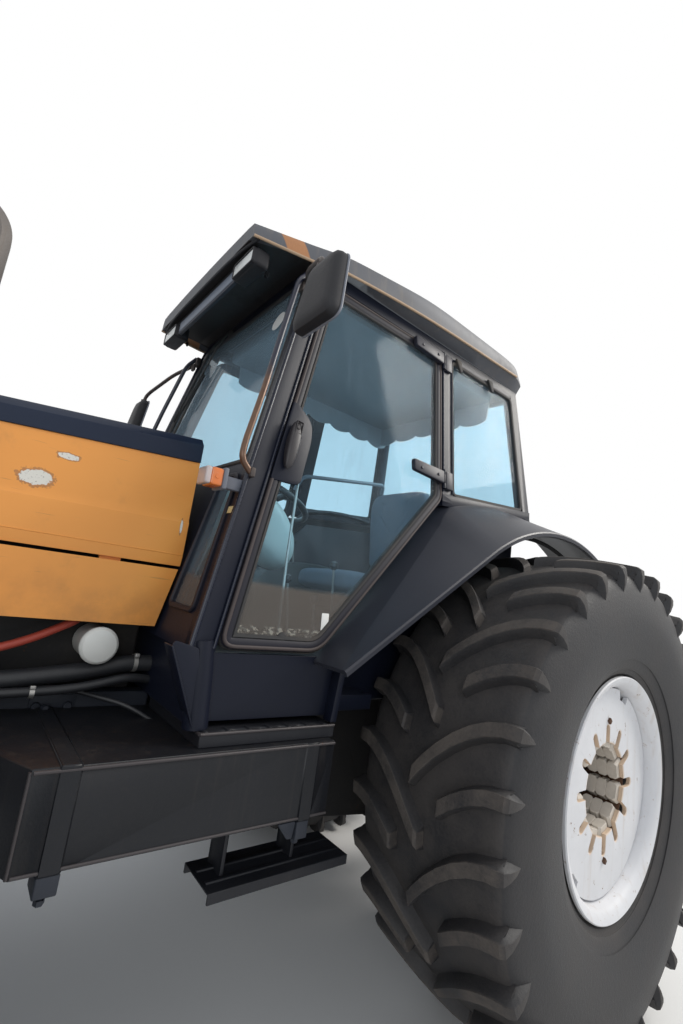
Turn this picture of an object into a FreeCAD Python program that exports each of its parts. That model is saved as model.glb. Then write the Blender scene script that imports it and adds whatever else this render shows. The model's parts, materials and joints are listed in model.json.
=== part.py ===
import FreeCAD, Part
import math
import os
import Sketcher
from FreeCAD import Placement, Rotation, Vector

# Farm tractor with a closed cab and a driven front axle.
# Frame: +X forward, +Y left, +Z up, on the ground under the middle of the overall length.
# Along the length, every place below is measured from the rear axle, and node moves it to the frame.

doc = FreeCAD.newDocument("FarmTractor")
sheet = doc.addObject("Spreadsheet::Sheet", "Sizes")

# Columns: name, millimetres (or degrees), what it is
SIZES = [
    ("wheelbase", 2850, "front axle ahead of the rear axle"),
    ("seat_gap", 0.3, "clearance between pieces that seat on each other"),
    ("run_gap", 0.3, "clearance of turning faces"),
    ("rear_tyre_radius", 895, "rear tyre out to the lugs' tips"),
    ("rear_lug_wide", 49, "width of a rear lug"),
    ("rear_tyre_width", 620, "rear tyre across its sidewalls"),
    ("rear_seat_radius", 406, "rear rim's bead seat"),
    ("rear_flange_radius", 432, "rear rim's flange"),
    ("rear_rim_width", 520, "rear rim between its outer faces"),
    ("rear_disc_out", 188, "rear rim's disc outside the tyre's middle plane"),
    ("disc_thick", 17, "thickness of that disc"),
    ("disc_hole_radius", 168, "hole in the middle of the disc"),
    ("slot_end_radius", 236, "outer end of a slot in the disc"),
    ("slot_wide", 35, "width of a slot"),
    ("weight_inner_radius", 150, "inner faces of the stacked weights"),
    ("weight_outer_radius", 205, "outer face of the stacked weights"),
    ("weight_thick", 40, "thickness of one weight"),
    ("weight_slit", 14, "gap between the blocks of a weight"),
    ("front_tyre_radius", 725, "front tyre out to the lugs' tips"),
    ("front_lug_wide", 46, "width of a front lug"),
    ("front_tyre_width", 467, "front tyre across its sidewalls"),
    ("front_seat_radius", 330, "front rim's bead seat"),
    ("front_flange_radius", 352, "front rim's flange"),
    ("front_rim_width", 400, "front rim between its outer faces"),
    ("hub_reach", 210, "middle plane of a front tyre outside its kingpin"),
    ("kingpin_half", 690, "kingpin's distance from the middle"),
    ("rail_half", 300, "outer face of a chassis rail"),
    ("rail_wide", 60, "width of a chassis rail"),
    ("rail_top", 1100, "top of the chassis rails"),
    ("rail_high", 130, "height of the chassis rails"),
    ("engine_half", 270, "half width of the engine"),
    ("engine_rear", 1620, "rear face of the engine"),
    ("axle_room", 290, "engine's front face behind the front axle"),
    ("engine_top", 1620, "top of the engine"),
    ("engine_bottom", 760, "bottom of the sump"),
    ("hood_half", 400, "half width of the hood"),
    ("hood_rear", 1575, "rear edge of the hood"),
    ("nose_reach", 550, "hood's front edge ahead of the front axle"),
    ("hood_top_rear", 1935, "top of the hood at the cab"),
    ("hood_top_front", 1760, "top of the hood at its nose"),
    ("band_low_rear", 1850, "lower edge of the top cover at the cab"),
    ("band_low_front", 1715, "lower edge of the top cover at the nose"),
    ("panel_split", 1505, "gap between the upper and lower side panels"),
    ("panel_bottom", 1315, "lower edge of the lower side panels"),
    ("panel_thick", 24, "thickness of a hood panel"),
    ("panel_gap", 10, "dark gap between the side panels"),
    ("pipe_radius", 60, "exhaust pipe"),
    ("strap_thick", 4, "thickness of a side box's strap"),
    ("hood_shoulder", 26, "slanted edge along the top cover"),
    ("crease_drop", 205, "crease of the upper side panel below the cover"),
    ("crease_deep", 6, "step of that crease"),
    ("sill_z", 1300, "lower edge of the doors"),
    ("sill_half", 683, "half width of the cab at the sill"),
    ("eave_z", 2700, "top of the glass"),
    ("eave_half", 501, "half width of the cab at the top of the glass"),
    ("knee_x", 550, "middle of the door pillar"),
    ("knee_z", 1940, "lower end of the door pillar"),
    ("cab_floor_z", 1160, "top of the cab floor"),
    ("floor_thick", 50, "thickness of the cab floor"),
    ("pillar_wide", 70, "pillar along the cab"),
    ("pillar_deep", 45, "pillar across the cab"),
    ("front_foot_x", 1612, "front face of the cab at the sill"),
    ("front_head_x", 1320, "front face of the cab at the top of the glass"),
    ("rear_foot_x", -95, "rear pillar at the fender"),
    ("rear_head_x", -15, "rear pillar at the top of the glass"),
    ("cab_rear_half", 520, "half width of the cab between the rear wheels"),
    ("wheel_room", 30, "room between the cab and a rear tyre"),
    ("door_thick", 30, "thickness of a door frame"),
    ("door_border", 34, "width of a door frame"),
    ("door_gap", 6, "gap round a door"),
    ("hinge_radius", 9, "knuckle of a door hinge"),
    ("hinge_pin_radius", 4.5, "pin of a door hinge"),
    ("hinge_out", 9.5, "hinge axis outside the cab's side"),
    ("hinge_leaf", 40, "length of a hinge leaf"),
    ("hinge_low_z", 2035, "height of the lower door hinge"),
    ("hinge_high_z", 2610, "height of the upper door hinge"),
    ("glass_thick", 6, "thickness of the glass"),
    ("roof_half", 560, "half width of the roof"),
    ("windscreen_low_z", 1860, "lower edge of the windscreen"),
    ("quarter_top_z", 1810, "top of the front lower windows"),
    ("lip_x_front", 1220, "front lower corner of a fender"),
    ("lip_z_front", 1280, "height of that corner"),
    ("lip_radius", 1000, "arch of the fender round the axle"),
    ("lip_inset", 10, "fender's outer edge inside the tyre's middle plane"),
    ("fender_thick", 26, "thickness of a fender"),
    ("steer_room", 65, "side box behind the front tyres"),
    ("tank_slant", 138, "length of a side box's slanted front corner"),
    ("tank_rear", 1136, "rear of a side box"),
    ("tank_half", 750, "outer face of a side box"),
    ("tank_top", 1058, "top of a side box"),
    ("tank_bottom", 851, "bottom of a side box"),
    ("step_rear", 1123, "rear edge of the platform"),
    ("step_front", 1561, "front edge of the platform"),
    ("step_half", 722, "outer edge of the platform"),
    ("low_step_z", 690, "top of the lower step"),
    ("carrier_reach", 790, "face of the weight carrier ahead of the front axle"),
    ("casing_half", 215, "half width of the gearbox casing"),
    ("casing_rear", -330, "rear face of the casing"),
    ("casing_bottom", 520, "bottom of the casing"),
    ("axle_pin_radius", 62, "front axle's pivot boss"),
    ("link_pin_x", -150, "front pins of the lower links"),
    ("link_pin_z", 510, "height of those pins"),
    ("link_pin_radius", 18, "front pin of a lower link"),
    ("link_reach", 930, "lower link from pin to eye, along the tractor"),
    ("link_boss", 36, "outer radius of a link's eye"),
    ("link_eye_radius", 14.35, "hole for the implement's pin"),
    ("lift_pin_x", -250, "lift arms' shaft along the tractor"),
    ("lift_pin_z", 1130, "height of that shaft"),
    ("lift_shaft_radius", 32, "radius of that shaft"),
    ("lift_arm_long", 300, "length of a lift arm"),
    ("drawbar_top", 470, "top of the drawbar"),
]

for row, (alias, value, meaning) in enumerate(SIZES, start=1):
    sheet.set("A%d" % row, alias)
    sheet.set("B%d" % row, str(value))
    sheet.set("C%d" % row, meaning)
    sheet.setAlias("B%d" % row, alias)
doc.recompute()


class Size:
    """A length with the formula on the sheet that it comes from."""

    def __init__(self, value, text):
        self.value = float(value)
        self.text = text

    def __add__(self, other):
        other = as_size(other)
        return Size(self.value + other.value, "(%s + %s)" % (self.text, other.text))

    def __sub__(self, other):
        other = as_size(other)
        return Size(self.value - other.value, "(%s - %s)" % (self.text, other.text))

    def __mul__(self, other):
        other = as_size(other)
        return Size(self.value * other.value, "(%s * %s)" % (self.text, other.text))

    def __truediv__(self, other):
        other = as_size(other)
        return Size(self.value / other.value, "(%s / %s)" % (self.text, other.text))

    def __radd__(self, other):
        return as_size(other) + self

    def __rsub__(self, other):
        return as_size(other) - self

    def __rmul__(self, other):
        return as_size(other) * self

    def __neg__(self):
        return as_size(0) - self

    def __float__(self):
        return self.value


def as_size(number):
    return number if isinstance(number, Size) else Size(number, repr(float(number)))


class Sizes:
    """The sheet's named sizes."""

    def __getattr__(self, alias):
        return Size(sheet.get(alias), "Sizes.%s" % alias)


s = Sizes()
made = []

# Places that follow from the sizes
ENGINE_FRONT = s.wheelbase - s.axle_room
HOOD_FRONT = s.wheelbase + s.nose_reach
CARRIER_FRONT = s.wheelbase + s.carrier_reach
REAR_TRACK_HALF = s.cab_rear_half + s.wheel_room + s.rear_tyre_width / 2
FRONT_TRACK_HALF = s.kingpin_half + s.hub_reach
AXLE_FLANGE = REAR_TRACK_HALF - 70
TANK_NOSE = s.wheelbase - s.front_tyre_radius - s.steer_room
TANK_FRONT = TANK_NOSE - s.tank_slant


def bind(obj, prop, size):
    """Ties a property to its formula."""
    obj.setExpression(prop, as_size(size).text)


def place(obj, x, y, z):
    for axis, size in (("x", x), ("y", y), ("z", z)):
        bind(obj, "Placement.Base.%s" % axis, size)


def box(name, x, y, z):
    """A block between two values along each axis."""
    obj = doc.addObject("Part::Box", name)
    for prop, (low, high) in (("Length", x), ("Width", y), ("Height", z)):
        bind(obj, prop, as_size(high) - low)
    place(obj, x[0], y[0], z[0])
    return obj


AXIS_TURNS = {
    "X": Rotation(Vector(0, 1, 0), 90),
    "Y": Rotation(Vector(1, 0, 0), -90),
    "Z": Rotation(),
}


def rod(name, axis, radius, start, length):
    """A cylinder from its start along an axis."""
    obj = doc.addObject("Part::Cylinder", name)
    obj.Placement = Placement(Vector(), AXIS_TURNS[axis])
    bind(obj, "Radius", radius)
    bind(obj, "Height", length)
    place(obj, *start)
    return obj


def outline(body, role, points, offset):
    """A closed sketch of straight lines, each corner tied to its formula."""
    sketch = body.newObject("Sketcher::SketchObject", body.Name + "Sketch")
    support = [f for f in body.Origin.OriginFeatures if f.Role == role][0]
    sketch.AttachmentSupport = [(support, "")]
    sketch.MapMode = "FlatFace"
    bind(sketch, "AttachmentOffset.Base.z", offset)
    pairs = [(as_size(u), as_size(v)) for u, v in points]
    spots = [Vector(u.value, v.value, 0) for u, v in pairs]
    for here, there in zip(spots, spots[1:] + spots[:1]):
        sketch.addGeometry(Part.LineSegment(here, there))
    for i in range(len(spots)):
        sketch.addConstraint(Sketcher.Constraint("Coincident", i, 2, (i + 1) % len(spots), 1))
    for i, pair in enumerate(pairs):
        for kind, axis, size in (("DistanceX", -2, pair[0]), ("DistanceY", -1, pair[1])):
            if abs(size.value) < 1e-9:
                sketch.addConstraint(Sketcher.Constraint("PointOnObject", i, 1, axis))
            else:
                k = sketch.addConstraint(Sketcher.Constraint(kind, -1, 1, i, 1, size.value))
                bind(sketch, "Constraints[%d]" % k, size)
    return sketch


# How a sketch plane's pad runs: role, and the side that the pad grows to
PLANES = {"side": ("XZ_Plane", -1), "front": ("YZ_Plane", 1), "plan": ("XY_Plane", 1)}


def prism(name, view, points, low, high):
    """A padded outline: seen from the side it spans y, from the front x, in plan z."""
    role, way = PLANES[view]
    body = doc.addObject("PartDesign::Body", name)
    start = -as_size(high) if way < 0 else as_size(low)
    sketch = outline(body, role, points, start)
    pad = body.newObject("PartDesign::Pad", name + "Pad")
    pad.Profile = sketch
    bind(pad, "Length", as_size(high) - low)
    return body


def turned(name, points, x, z):
    """A revolved outline about a wheel's axle line: points are (distance along y, radius)."""
    body = doc.addObject("PartDesign::Body", name)
    sketch = outline(body, "XY_Plane", [(radius, along) for along, radius in points], 0)
    turn = body.newObject("PartDesign::Revolution", name + "Turn")
    turn.Profile = sketch
    turn.ReferenceAxis = (sketch, ["V_Axis"])
    turn.Angle = 360
    place(body, x, 0, z)
    return body


def shape(name, solid):
    """A piece whose shape is worked out from the sheet's values."""
    obj = doc.addObject("Part::Feature", name)
    obj.Shape = solid
    return obj


def joined(name, *pieces):
    obj = doc.addObject("Part::MultiFuse", name)
    obj.Shapes = list(pieces)
    return obj


def cut(name, base, *tools):
    obj = doc.addObject("Part::Cut", name)
    obj.Base = base
    obj.Tool = tools[0] if len(tools) == 1 else joined(name + "Tools", *tools)
    return obj


def mirrored(name, source):
    """The same piece on the other side."""
    obj = doc.addObject("Part::Mirroring", name)
    obj.Source = source
    obj.Normal = Vector(0, 1, 0)
    return obj


def both(name, piece):
    return [piece, mirrored(name + "Other", piece)]


def node(label, *pieces):
    """One sub-part: its solids, moved along the length to the frame."""
    obj = doc.addObject("Part::Compound", label)
    obj.Label = label
    obj.Links = list(pieces)
    bind(obj, "Placement.Base.x", (s.link_reach + s.link_boss - s.link_pin_x - CARRIER_FRONT) / 2)
    made.append(obj)
    return obj


def v(x, y, z):
    return Vector(float(x), float(y), float(z))


def wire(points):
    """A closed wire; a point given as (point, True) is the middle of an arc."""
    spots = [p if isinstance(p, tuple) else (p, False) for p in points]
    edges = []
    count = len(spots)
    i = 0
    while i < count:
        here = spots[i][0]
        after = spots[(i + 1) % count]
        if after[1]:
            edges.append(Part.Arc(here, after[0], spots[(i + 2) % count][0]).toShape())
            i += 2
        else:
            edges.append(Part.LineSegment(here, after[0]).toShape())
            i += 1
    return Part.Wire(edges)


def bar(start, end, wide, deep, side=Vector(0, 1, 0)):
    """A square bar between two points; deep is measured along side."""
    along = end - start
    third = along.cross(side).normalize() * float(wide)
    across = side * float(deep)
    corner = start - third * 0.5 - across * 0.5
    face = Part.Face(wire([corner, corner + third, corner + third + across, corner + across]))
    return face.extrude(along)


def fused(solids):
    return solids[0].multiFuse(solids[1:]).removeSplitter()


def rounded(corners, radii, lift):
    """A closed wire of lines with round corners; lift makes a point from two numbers."""
    count = len(corners)
    points = []
    for i in range(count):
        here = Vector(corners[i][0], corners[i][1], 0)
        before = Vector(corners[i - 1][0], corners[i - 1][1], 0)
        after = Vector(corners[(i + 1) % count][0], corners[(i + 1) % count][1], 0)
        radius = radii[i]
        if radius <= 0:
            points.append(lift(here.x, here.y))
            continue
        back = (before - here).normalize()
        on = (after - here).normalize()
        half = back.getAngle(on) / 2
        run = radius / math.tan(half)
        middle = here + (back + on).normalize() * (radius / math.sin(half) - radius)
        enter = here + back * run
        leave = here + on * run
        points.append(lift(enter.x, enter.y))
        points.append((lift(middle.x, middle.y), True))
        points.append(lift(leave.x, leave.y))
    return wire(points)


# Engine, transmission and chassis

def engine_block():
    waist = s.engine_bottom + 260
    shoulder = s.engine_top - 260
    block = prism("EngineBlock", "front", [
        (-s.engine_half, waist), (-s.engine_half * 0.55, s.engine_bottom),
        (s.engine_half * 0.55, s.engine_bottom),
        (s.engine_half, waist), (s.engine_half, shoulder), (s.engine_half * 0.8, s.engine_top),
        (-s.engine_half * 0.8, s.engine_top), (-s.engine_half, shoulder),
    ], s.engine_rear, ENGINE_FRONT)
    slots = [
        box("RailRoom%d" % i, (s.engine_rear - 1, ENGINE_FRONT + 1),
            (low, high), (s.rail_top - s.rail_high - 5, s.rail_top + 5))
        for i, (low, high) in enumerate((
            (s.rail_half - s.rail_wide - 5, s.rail_half + 5),
            (-s.rail_half - 5, s.rail_wide - s.rail_half + 5)))
    ]
    node("engine_block", cut("EngineOpen", block, *slots))


def transmission():
    """Clutch, gearbox and rear axle housing in one casting with bolted joints, and the two axle trumpets."""
    half = s.casing_half
    rear = s.casing_rear
    low = s.casing_bottom
    front = s.engine_rear - s.seat_gap
    spine = prism("GearboxSpine", "side", [
        (rear, low + 40), (rear, 1060), (250, 1090), (700, 1060), (front, 1040), (front, 640),
        (1000, low + 70),
        (420, low), (rear + 210, low),
    ], -half, half)
    # Columns: middle of a joint's flange along the tractor, its low and top edge
    joints = [
        box("CasingFlange%d" % i, (x - 14, x + 14), (-half - 16, half + 16), (bottom, top))
        for i, (x, bottom, top) in enumerate(((420, low - 8, 1075), (1000, low + 62, 1046)))
    ]
    trumpet = turned("AxleTrumpet", [
        (half - 20, 0), (half - 20, 170), (half + 70, 150), (half + 270, 118), (AXLE_FLANGE - 100, 118),
        (AXLE_FLANGE - 60, 175), (AXLE_FLANGE, 175), (AXLE_FLANGE, 0),
    ], 0, s.rear_tyre_radius)
    lift = prism("LiftHousing", "side", [
        (rear, 1040), (rear, s.lift_pin_z + 30), (s.lift_pin_x - 40, s.lift_pin_z + 60),
        (s.lift_pin_x + 50, s.lift_pin_z + 60), (s.lift_pin_x + 90, s.lift_pin_z + 30),
        (s.lift_pin_x + 90, 1040),
    ], -half, half)
    bracket = box("LinkBracket", (s.link_pin_x - 45, s.link_pin_x + 45), (100, half),
                  (s.link_pin_z - 40, s.link_pin_z + 60))
    pin = rod("LinkPin", "Y", s.link_pin_radius, (s.link_pin_x, half - 20, s.link_pin_z), 140)
    mount_top = s.cab_floor_z - s.floor_thick - s.seat_gap
    rear_mount = rod("RearMount", "Z", 60, (0, 400, 980), mount_top - 980)
    front_mount = rod("FrontMount", "Z", 50, (s.hood_rear - 125, 160, 1030), mount_top - 1030)
    casting = joined("Casting", spine, lift, *joints, *both("RearMount", rear_mount),
                     *both("FrontMount", front_mount), *both("AxleTrumpet", trumpet),
                     *both("LinkBracket", bracket), *both("LinkPin", pin))
    bore = rod("LiftBore", "Y", s.lift_shaft_radius + s.run_gap, (s.lift_pin_x, -half - 10, s.lift_pin_z),
               2 * half + 20)
    node("transmission", cut("Transmission", casting, bore))


def front_frame():
    """Chassis rails, the cast front support and the face that carries the front weights."""
    rail_low = s.rail_top - s.rail_high
    rail = box("Rail", (s.engine_rear - 60, HOOD_FRONT - 340), (s.rail_half - s.rail_wide, s.rail_half),
               (rail_low, s.rail_top))
    top = s.rail_top + 80
    support = prism("FrontSupport", "side", [
        (ENGINE_FRONT + s.seat_gap, rail_low), (ENGINE_FRONT + s.seat_gap, top), (HOOD_FRONT, top),
        (CARRIER_FRONT - 170, top - 120), (CARRIER_FRONT - 20, top - 140),
        (CARRIER_FRONT - 20, rail_low - 190),
        (s.wheelbase + 450, rail_low - 230), (s.wheelbase + 330, rail_low - 170),
        (s.wheelbase + 250, rail_low),
    ], s.rail_wide - s.rail_half, s.rail_half - s.rail_wide)
    carrier = box("WeightCarrier", (CARRIER_FRONT - 80, CARRIER_FRONT),
                  (-s.rail_half - 30, s.rail_half + 30),
                  (rail_low - 140, rail_low + 40))
    saddle = box("AxleSaddle", (s.wheelbase - 150, s.wheelbase + 200), (-110, 110),
                 (s.front_tyre_radius + 92 + s.axle_pin_radius + s.seat_gap, rail_low))
    node("front_frame", joined("FrontFrame", *both("Rail", rail), support, carrier, saddle))


def front_axle():
    """The driven beam, with an eye at each end for its kingpins."""
    axle_z = s.front_tyre_radius
    beam = prism("AxleBeam", "front", [
        (-s.kingpin_half, axle_z - 55), (-280, axle_z - 65), (-150, axle_z - 150), (150, axle_z - 150),
        (280, axle_z - 65), (s.kingpin_half, axle_z - 55), (s.kingpin_half, axle_z + 55),
        (280, axle_z + 65),
        (150, axle_z + 150), (-150, axle_z + 150), (-280, axle_z + 65), (-s.kingpin_half, axle_z + 55),
    ], s.wheelbase - 65, s.wheelbase + 65)
    eye = rod("KingpinEye", "Z", 66, (s.wheelbase, s.kingpin_half, axle_z - 90), 180)
    pivot = rod("AxlePivot", "X", s.axle_pin_radius, (s.wheelbase - 150, 0, axle_z + 92), 350)
    cylinder = rod("SteerCylinder", "Y", 34, (s.wheelbase - 110, -230, axle_z + 20), 460)
    steer_rod = rod("SteerRod", "Y", 15, (s.wheelbase - 110, -430, axle_z + 20), 860)
    bracket = box("CylinderBracket", (s.wheelbase - 120, s.wheelbase), (-180, 180),
                  (axle_z - 20, axle_z + 40))
    node("front_axle", joined("FrontAxle", beam, *both("KingpinEye", eye), pivot, cylinder, steer_rod,
                              bracket))


def knuckles():
    """Fork round the kingpin eye, with the hub reduction outside it."""
    axle_z = s.front_tyre_radius
    x = s.wheelbase
    y = s.kingpin_half
    pieces = [
        rod("ForkTop", "Z", 72, (x, y, axle_z + 90 + s.run_gap), 38),
        rod("ForkLow", "Z", 72, (x, y, axle_z - 128 - s.run_gap), 38),
        box("ForkTopArm", (x - 60, x + 60), (y, y + 140),
            (axle_z + 90 + s.run_gap, axle_z + 128 + s.run_gap)),
        box("ForkLowArm", (x - 60, x + 60), (y, y + 140),
            (axle_z - 128 - s.run_gap, axle_z - 90 - s.run_gap)),
        rod("HubHousing", "Y", 130, (x, y + 85, axle_z), 75),
        box("SteerArm", (x - 190, x - 40), (y - 30, y + 30),
            (axle_z + 90 + s.run_gap, axle_z + 118 + s.run_gap)),
    ]
    left = joined("KnuckleLeft", *pieces)
    node("knuckle_left", left)
    node("knuckle_right", mirrored("KnuckleRight", left))


# Wheels

def casing(section, sides):
    """A tyre's casing as a ring of flat facets about its axle line: section gives (along, radius)."""
    rings = []
    for k in range(sides):
        turn = 2 * math.pi * (k + 0.5) / sides
        rings.append([v(radius * math.cos(turn), along, radius * math.sin(turn)) for along,
                      radius in section])
    faces = []
    for here, after in zip(rings, rings[1:] + rings[:1]):
        for i in range(len(section)):
            j = (i + 1) % len(section)
            faces.append(Part.Face(wire([here[i], here[j], after[j], after[i]])))
    return Part.makeSolid(Part.makeShell(faces))


def lug(side, turn, sweep, corners, width):
    """A bar that runs forward as it goes out, square to the ground at its inner end.

    turn is the angle of its inner end and sweep the angle from there to its outer end, in radians; corners are
    (along, radius).
    """
    out = v(math.cos(turn), 0, math.sin(turn))
    across = v(-math.sin(turn), 0, math.cos(turn))
    start = corners[0][0]
    end, end_radius = corners[2]
    slope = end_radius * math.sin(sweep) / (end - start)
    points = []
    for along, radius in corners:
        run = along - start
        lean = math.cos(sweep * run / (end - start))
        points.append(v(0, side * along, 0) + across * (slope * run - width / 2) + out * (radius * lean))
    return Part.Face(wire(points)).extrude(across * width)


# Columns: 0 for a long lug and 1 for a short one, inner end as a share of the half width, degrees that this end
# lies ahead of a long lug's, degrees swept to the shoulder
LUGS = (
    (0, 0.0, 0.0, 12.0),
    (1, 0.29, 6.0, 6.0),
)


def tyre(name, x, radius, width, bead, seat_half, track, stations, lug_wide):
    """Casing and two rows of lugs, long and short in turn; a long lug of one row stands on the ground."""
    half = width / 2
    rise = radius - bead
    side = [
        (seat_half, bead / math.cos(math.pi / stations)), (half, bead + rise * 0.52),
        (half * 0.93, bead + rise * 0.80),
    ]
    ring = casing(side + [(-along, high) for along, high in reversed(side)], stations)
    pitch = 360 / stations
    bars = []
    for hand, first in ((1, -90), (-1, -90 - pitch * 0.93)):
        for k in range(stations):
            which, start, ahead, sweep = LUGS[k % 2]
            start = start * half
            turn = math.radians(first + pitch * k + ahead)
            corners = [
                (start, bead + rise * 0.74), (start, radius - rise * 0.006 * which),
                (half * 0.97, radius - rise * 0.057), (half * 0.93, bead + rise * 0.74),
            ]
            bars.append(lug(hand, turn, math.radians(sweep), corners, lug_wide))
    solid = ring.multiFuse(bars)
    solid.translate(v(x, track, radius))
    return shape(name, solid)


def around(count, first, solid, centre):
    """Copies of a solid round a wheel's axle line, the first turned by some degrees."""
    copies = []
    for k in range(count):
        copy = solid.copy()
        copy.rotate(centre, Vector(0, 1, 0), -first - 360 * k / count)
        copies.append(copy)
    return copies


def disc_openings(centre, disc_in):
    """Round-ended slots out of the rear disc's hole, and the two notches in its edge."""
    slot = s.slot_wide.value
    end = s.slot_end_radius.value - slot / 2
    deep = s.disc_thick.value + 20
    seat = s.rear_seat_radius.value
    bar = Part.makeBox(end - 60, deep, slot, v(60, disc_in - 10, -slot / 2))
    tip = Part.makeCylinder(slot / 2, deep, v(end, disc_in - 10, 0), Vector(0, 1, 0))
    notch = Part.makeCylinder(22, deep, v(seat - 56, disc_in - 10, 0), Vector(0, 1, 0))
    for piece in (bar, tip, notch):
        piece.translate(centre)
    openings = around(12, 0, bar, centre) + around(12, 0, tip, centre)
    for first in (112, 311):
        openings += around(1, first, notch, centre)
    return openings


def weight_slits(centre, low, high):
    """Gaps between the blocks of the stacked weights, wider where two weights meet with cut corners."""
    half = s.weight_slit.value / 2
    wide = half * 1.9
    cut_long = half * 0.6
    inner = s.weight_inner_radius.value - 10
    depth = s.weight_outer_radius.value - 6 - inner
    edge = [(low - 1, half)]
    for k in range(2, 0, -1):
        seam = high - k * s.weight_thick.value
        edge += [(seam - cut_long - half, half), (seam - cut_long, wide), (seam + cut_long, wide),
                 (seam + cut_long + half, half)]
    edge.append((high + 1, half))
    outline_points = edge + [(along, -across) for along, across in reversed(edge)]
    slit = Part.Face(wire([v(inner, along, across) for along,
                           across in outline_points])).extrude(v(depth, 0, 0))
    slit.translate(centre)
    return around(12, 0, slit, centre)


def rear_wheels():
    """Tyre, rim with its slotted disc, and the hub with the three weights stacked in it."""
    bead = s.rear_seat_radius + s.seat_gap
    half = s.rear_rim_width / 2
    middle = REAR_TRACK_HALF
    left = tyre("RearTyreLeft", 0, s.rear_tyre_radius.value, s.rear_tyre_width.value, bead.value,
                half.value - 26 - s.seat_gap.value, middle.value, 30, s.rear_lug_wide.value)
    disc_in = middle + s.rear_disc_out
    disc_out = disc_in + s.disc_thick
    dish = turned("RearDish", [
        (middle - half, s.rear_flange_radius), (middle - half + 18, s.rear_flange_radius),
        (middle - half + 26, s.rear_seat_radius), (middle + half - 26, s.rear_seat_radius),
        (middle + half - 18, s.rear_flange_radius), (middle + half, s.rear_flange_radius),
        (middle + half - 4, s.rear_seat_radius - 8), (middle + half - 60, s.rear_seat_radius - 26),
        (disc_out, s.rear_seat_radius - 30), (disc_out, s.disc_hole_radius), (disc_in, s.disc_hole_radius),
        (disc_in, s.rear_seat_radius - 30), (middle - half + 60, s.rear_seat_radius - 26),
        (middle - half + 4, s.rear_seat_radius - 8),
    ], 0, s.rear_tyre_radius)
    centre = v(0, 0, s.rear_tyre_radius)
    openings = [shape("DiscOpening%d" % i, solid)
                for i, solid in enumerate(disc_openings(centre, disc_in.value))]
    rim = cut("RearRim", dish, *openings)
    face = disc_in - s.seat_gap
    well = face - s.weight_thick * 3
    drum = turned("WeightDrum", [
        (AXLE_FLANGE + s.run_gap, 0), (AXLE_FLANGE + s.run_gap, 165), (AXLE_FLANGE + 50, 165),
        (AXLE_FLANGE + 80, s.weight_outer_radius), (face, s.weight_outer_radius),
        (face, s.weight_inner_radius),
        (well, s.weight_inner_radius), (well, 110), (well - 30, 96), (well - 30, 0),
    ], 0, s.rear_tyre_radius)
    slits = [shape("WeightSlit%d" % i, solid)
             for i, solid in enumerate(weight_slits(centre, well.value, face.value))]
    hub = cut("RearHub", drum, *slits)
    node("rear_tyre_left", left)
    node("rear_tyre_right", mirrored("RearTyreRight", left))
    node("rear_rim_left", rim)
    node("rear_rim_right", mirrored("RearRimRight", rim))
    node("rear_hub_left", hub)
    node("rear_hub_right", mirrored("RearHubRight", hub))


def front_wheels():
    bead = s.front_seat_radius + s.seat_gap
    half = s.front_rim_width / 2
    middle = FRONT_TRACK_HALF
    left = tyre("FrontTyreLeft", s.wheelbase.value, s.front_tyre_radius.value, s.front_tyre_width.value,
                bead.value,
                half.value - 20 - s.seat_gap.value, middle.value, 18, s.front_lug_wide.value)
    hub_face = s.kingpin_half + 160 + s.run_gap
    rim = turned("FrontRim", [
        (middle - half, s.front_flange_radius), (middle - half + 14, s.front_flange_radius),
        (middle - half + 20, s.front_seat_radius), (middle + half - 20, s.front_seat_radius),
        (middle + half - 14, s.front_flange_radius), (middle + half, s.front_flange_radius),
        (middle + half - 4, s.front_seat_radius - 8), (middle + half - 50, s.front_seat_radius - 24),
        (hub_face + 110, s.front_seat_radius - 28), (hub_face + 60, 190), (hub_face + 90, 100),
        (hub_face + 90, 0),
        (hub_face, 0), (hub_face, 125), (hub_face + 46, 125), (hub_face + 46, 200),
        (hub_face + 90, s.front_seat_radius - 24), (middle - half + 50, s.front_seat_radius - 24),
        (middle - half + 4, s.front_seat_radius - 8),
    ], s.wheelbase, s.front_tyre_radius)
    node("front_tyre_left", left)
    node("front_tyre_right", mirrored("FrontTyreRight", left))
    node("front_rim_left", rim)
    node("front_rim_right", mirrored("FrontRimRight", rim))


# Hood, nose and what stands on the engine

def ruled(sections):
    """A solid through two or more closed outlines, straight from one to the next."""
    return Part.makeLoft([wire(points) for points in sections], True, True)


def hood_line(x, at_rear, at_front):
    """A height on a line that falls from the cab to the nose."""
    share = (x - s.hood_rear.value) / (HOOD_FRONT.value - s.hood_rear.value)
    return at_rear.value + (at_front.value - at_rear.value) * share


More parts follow.
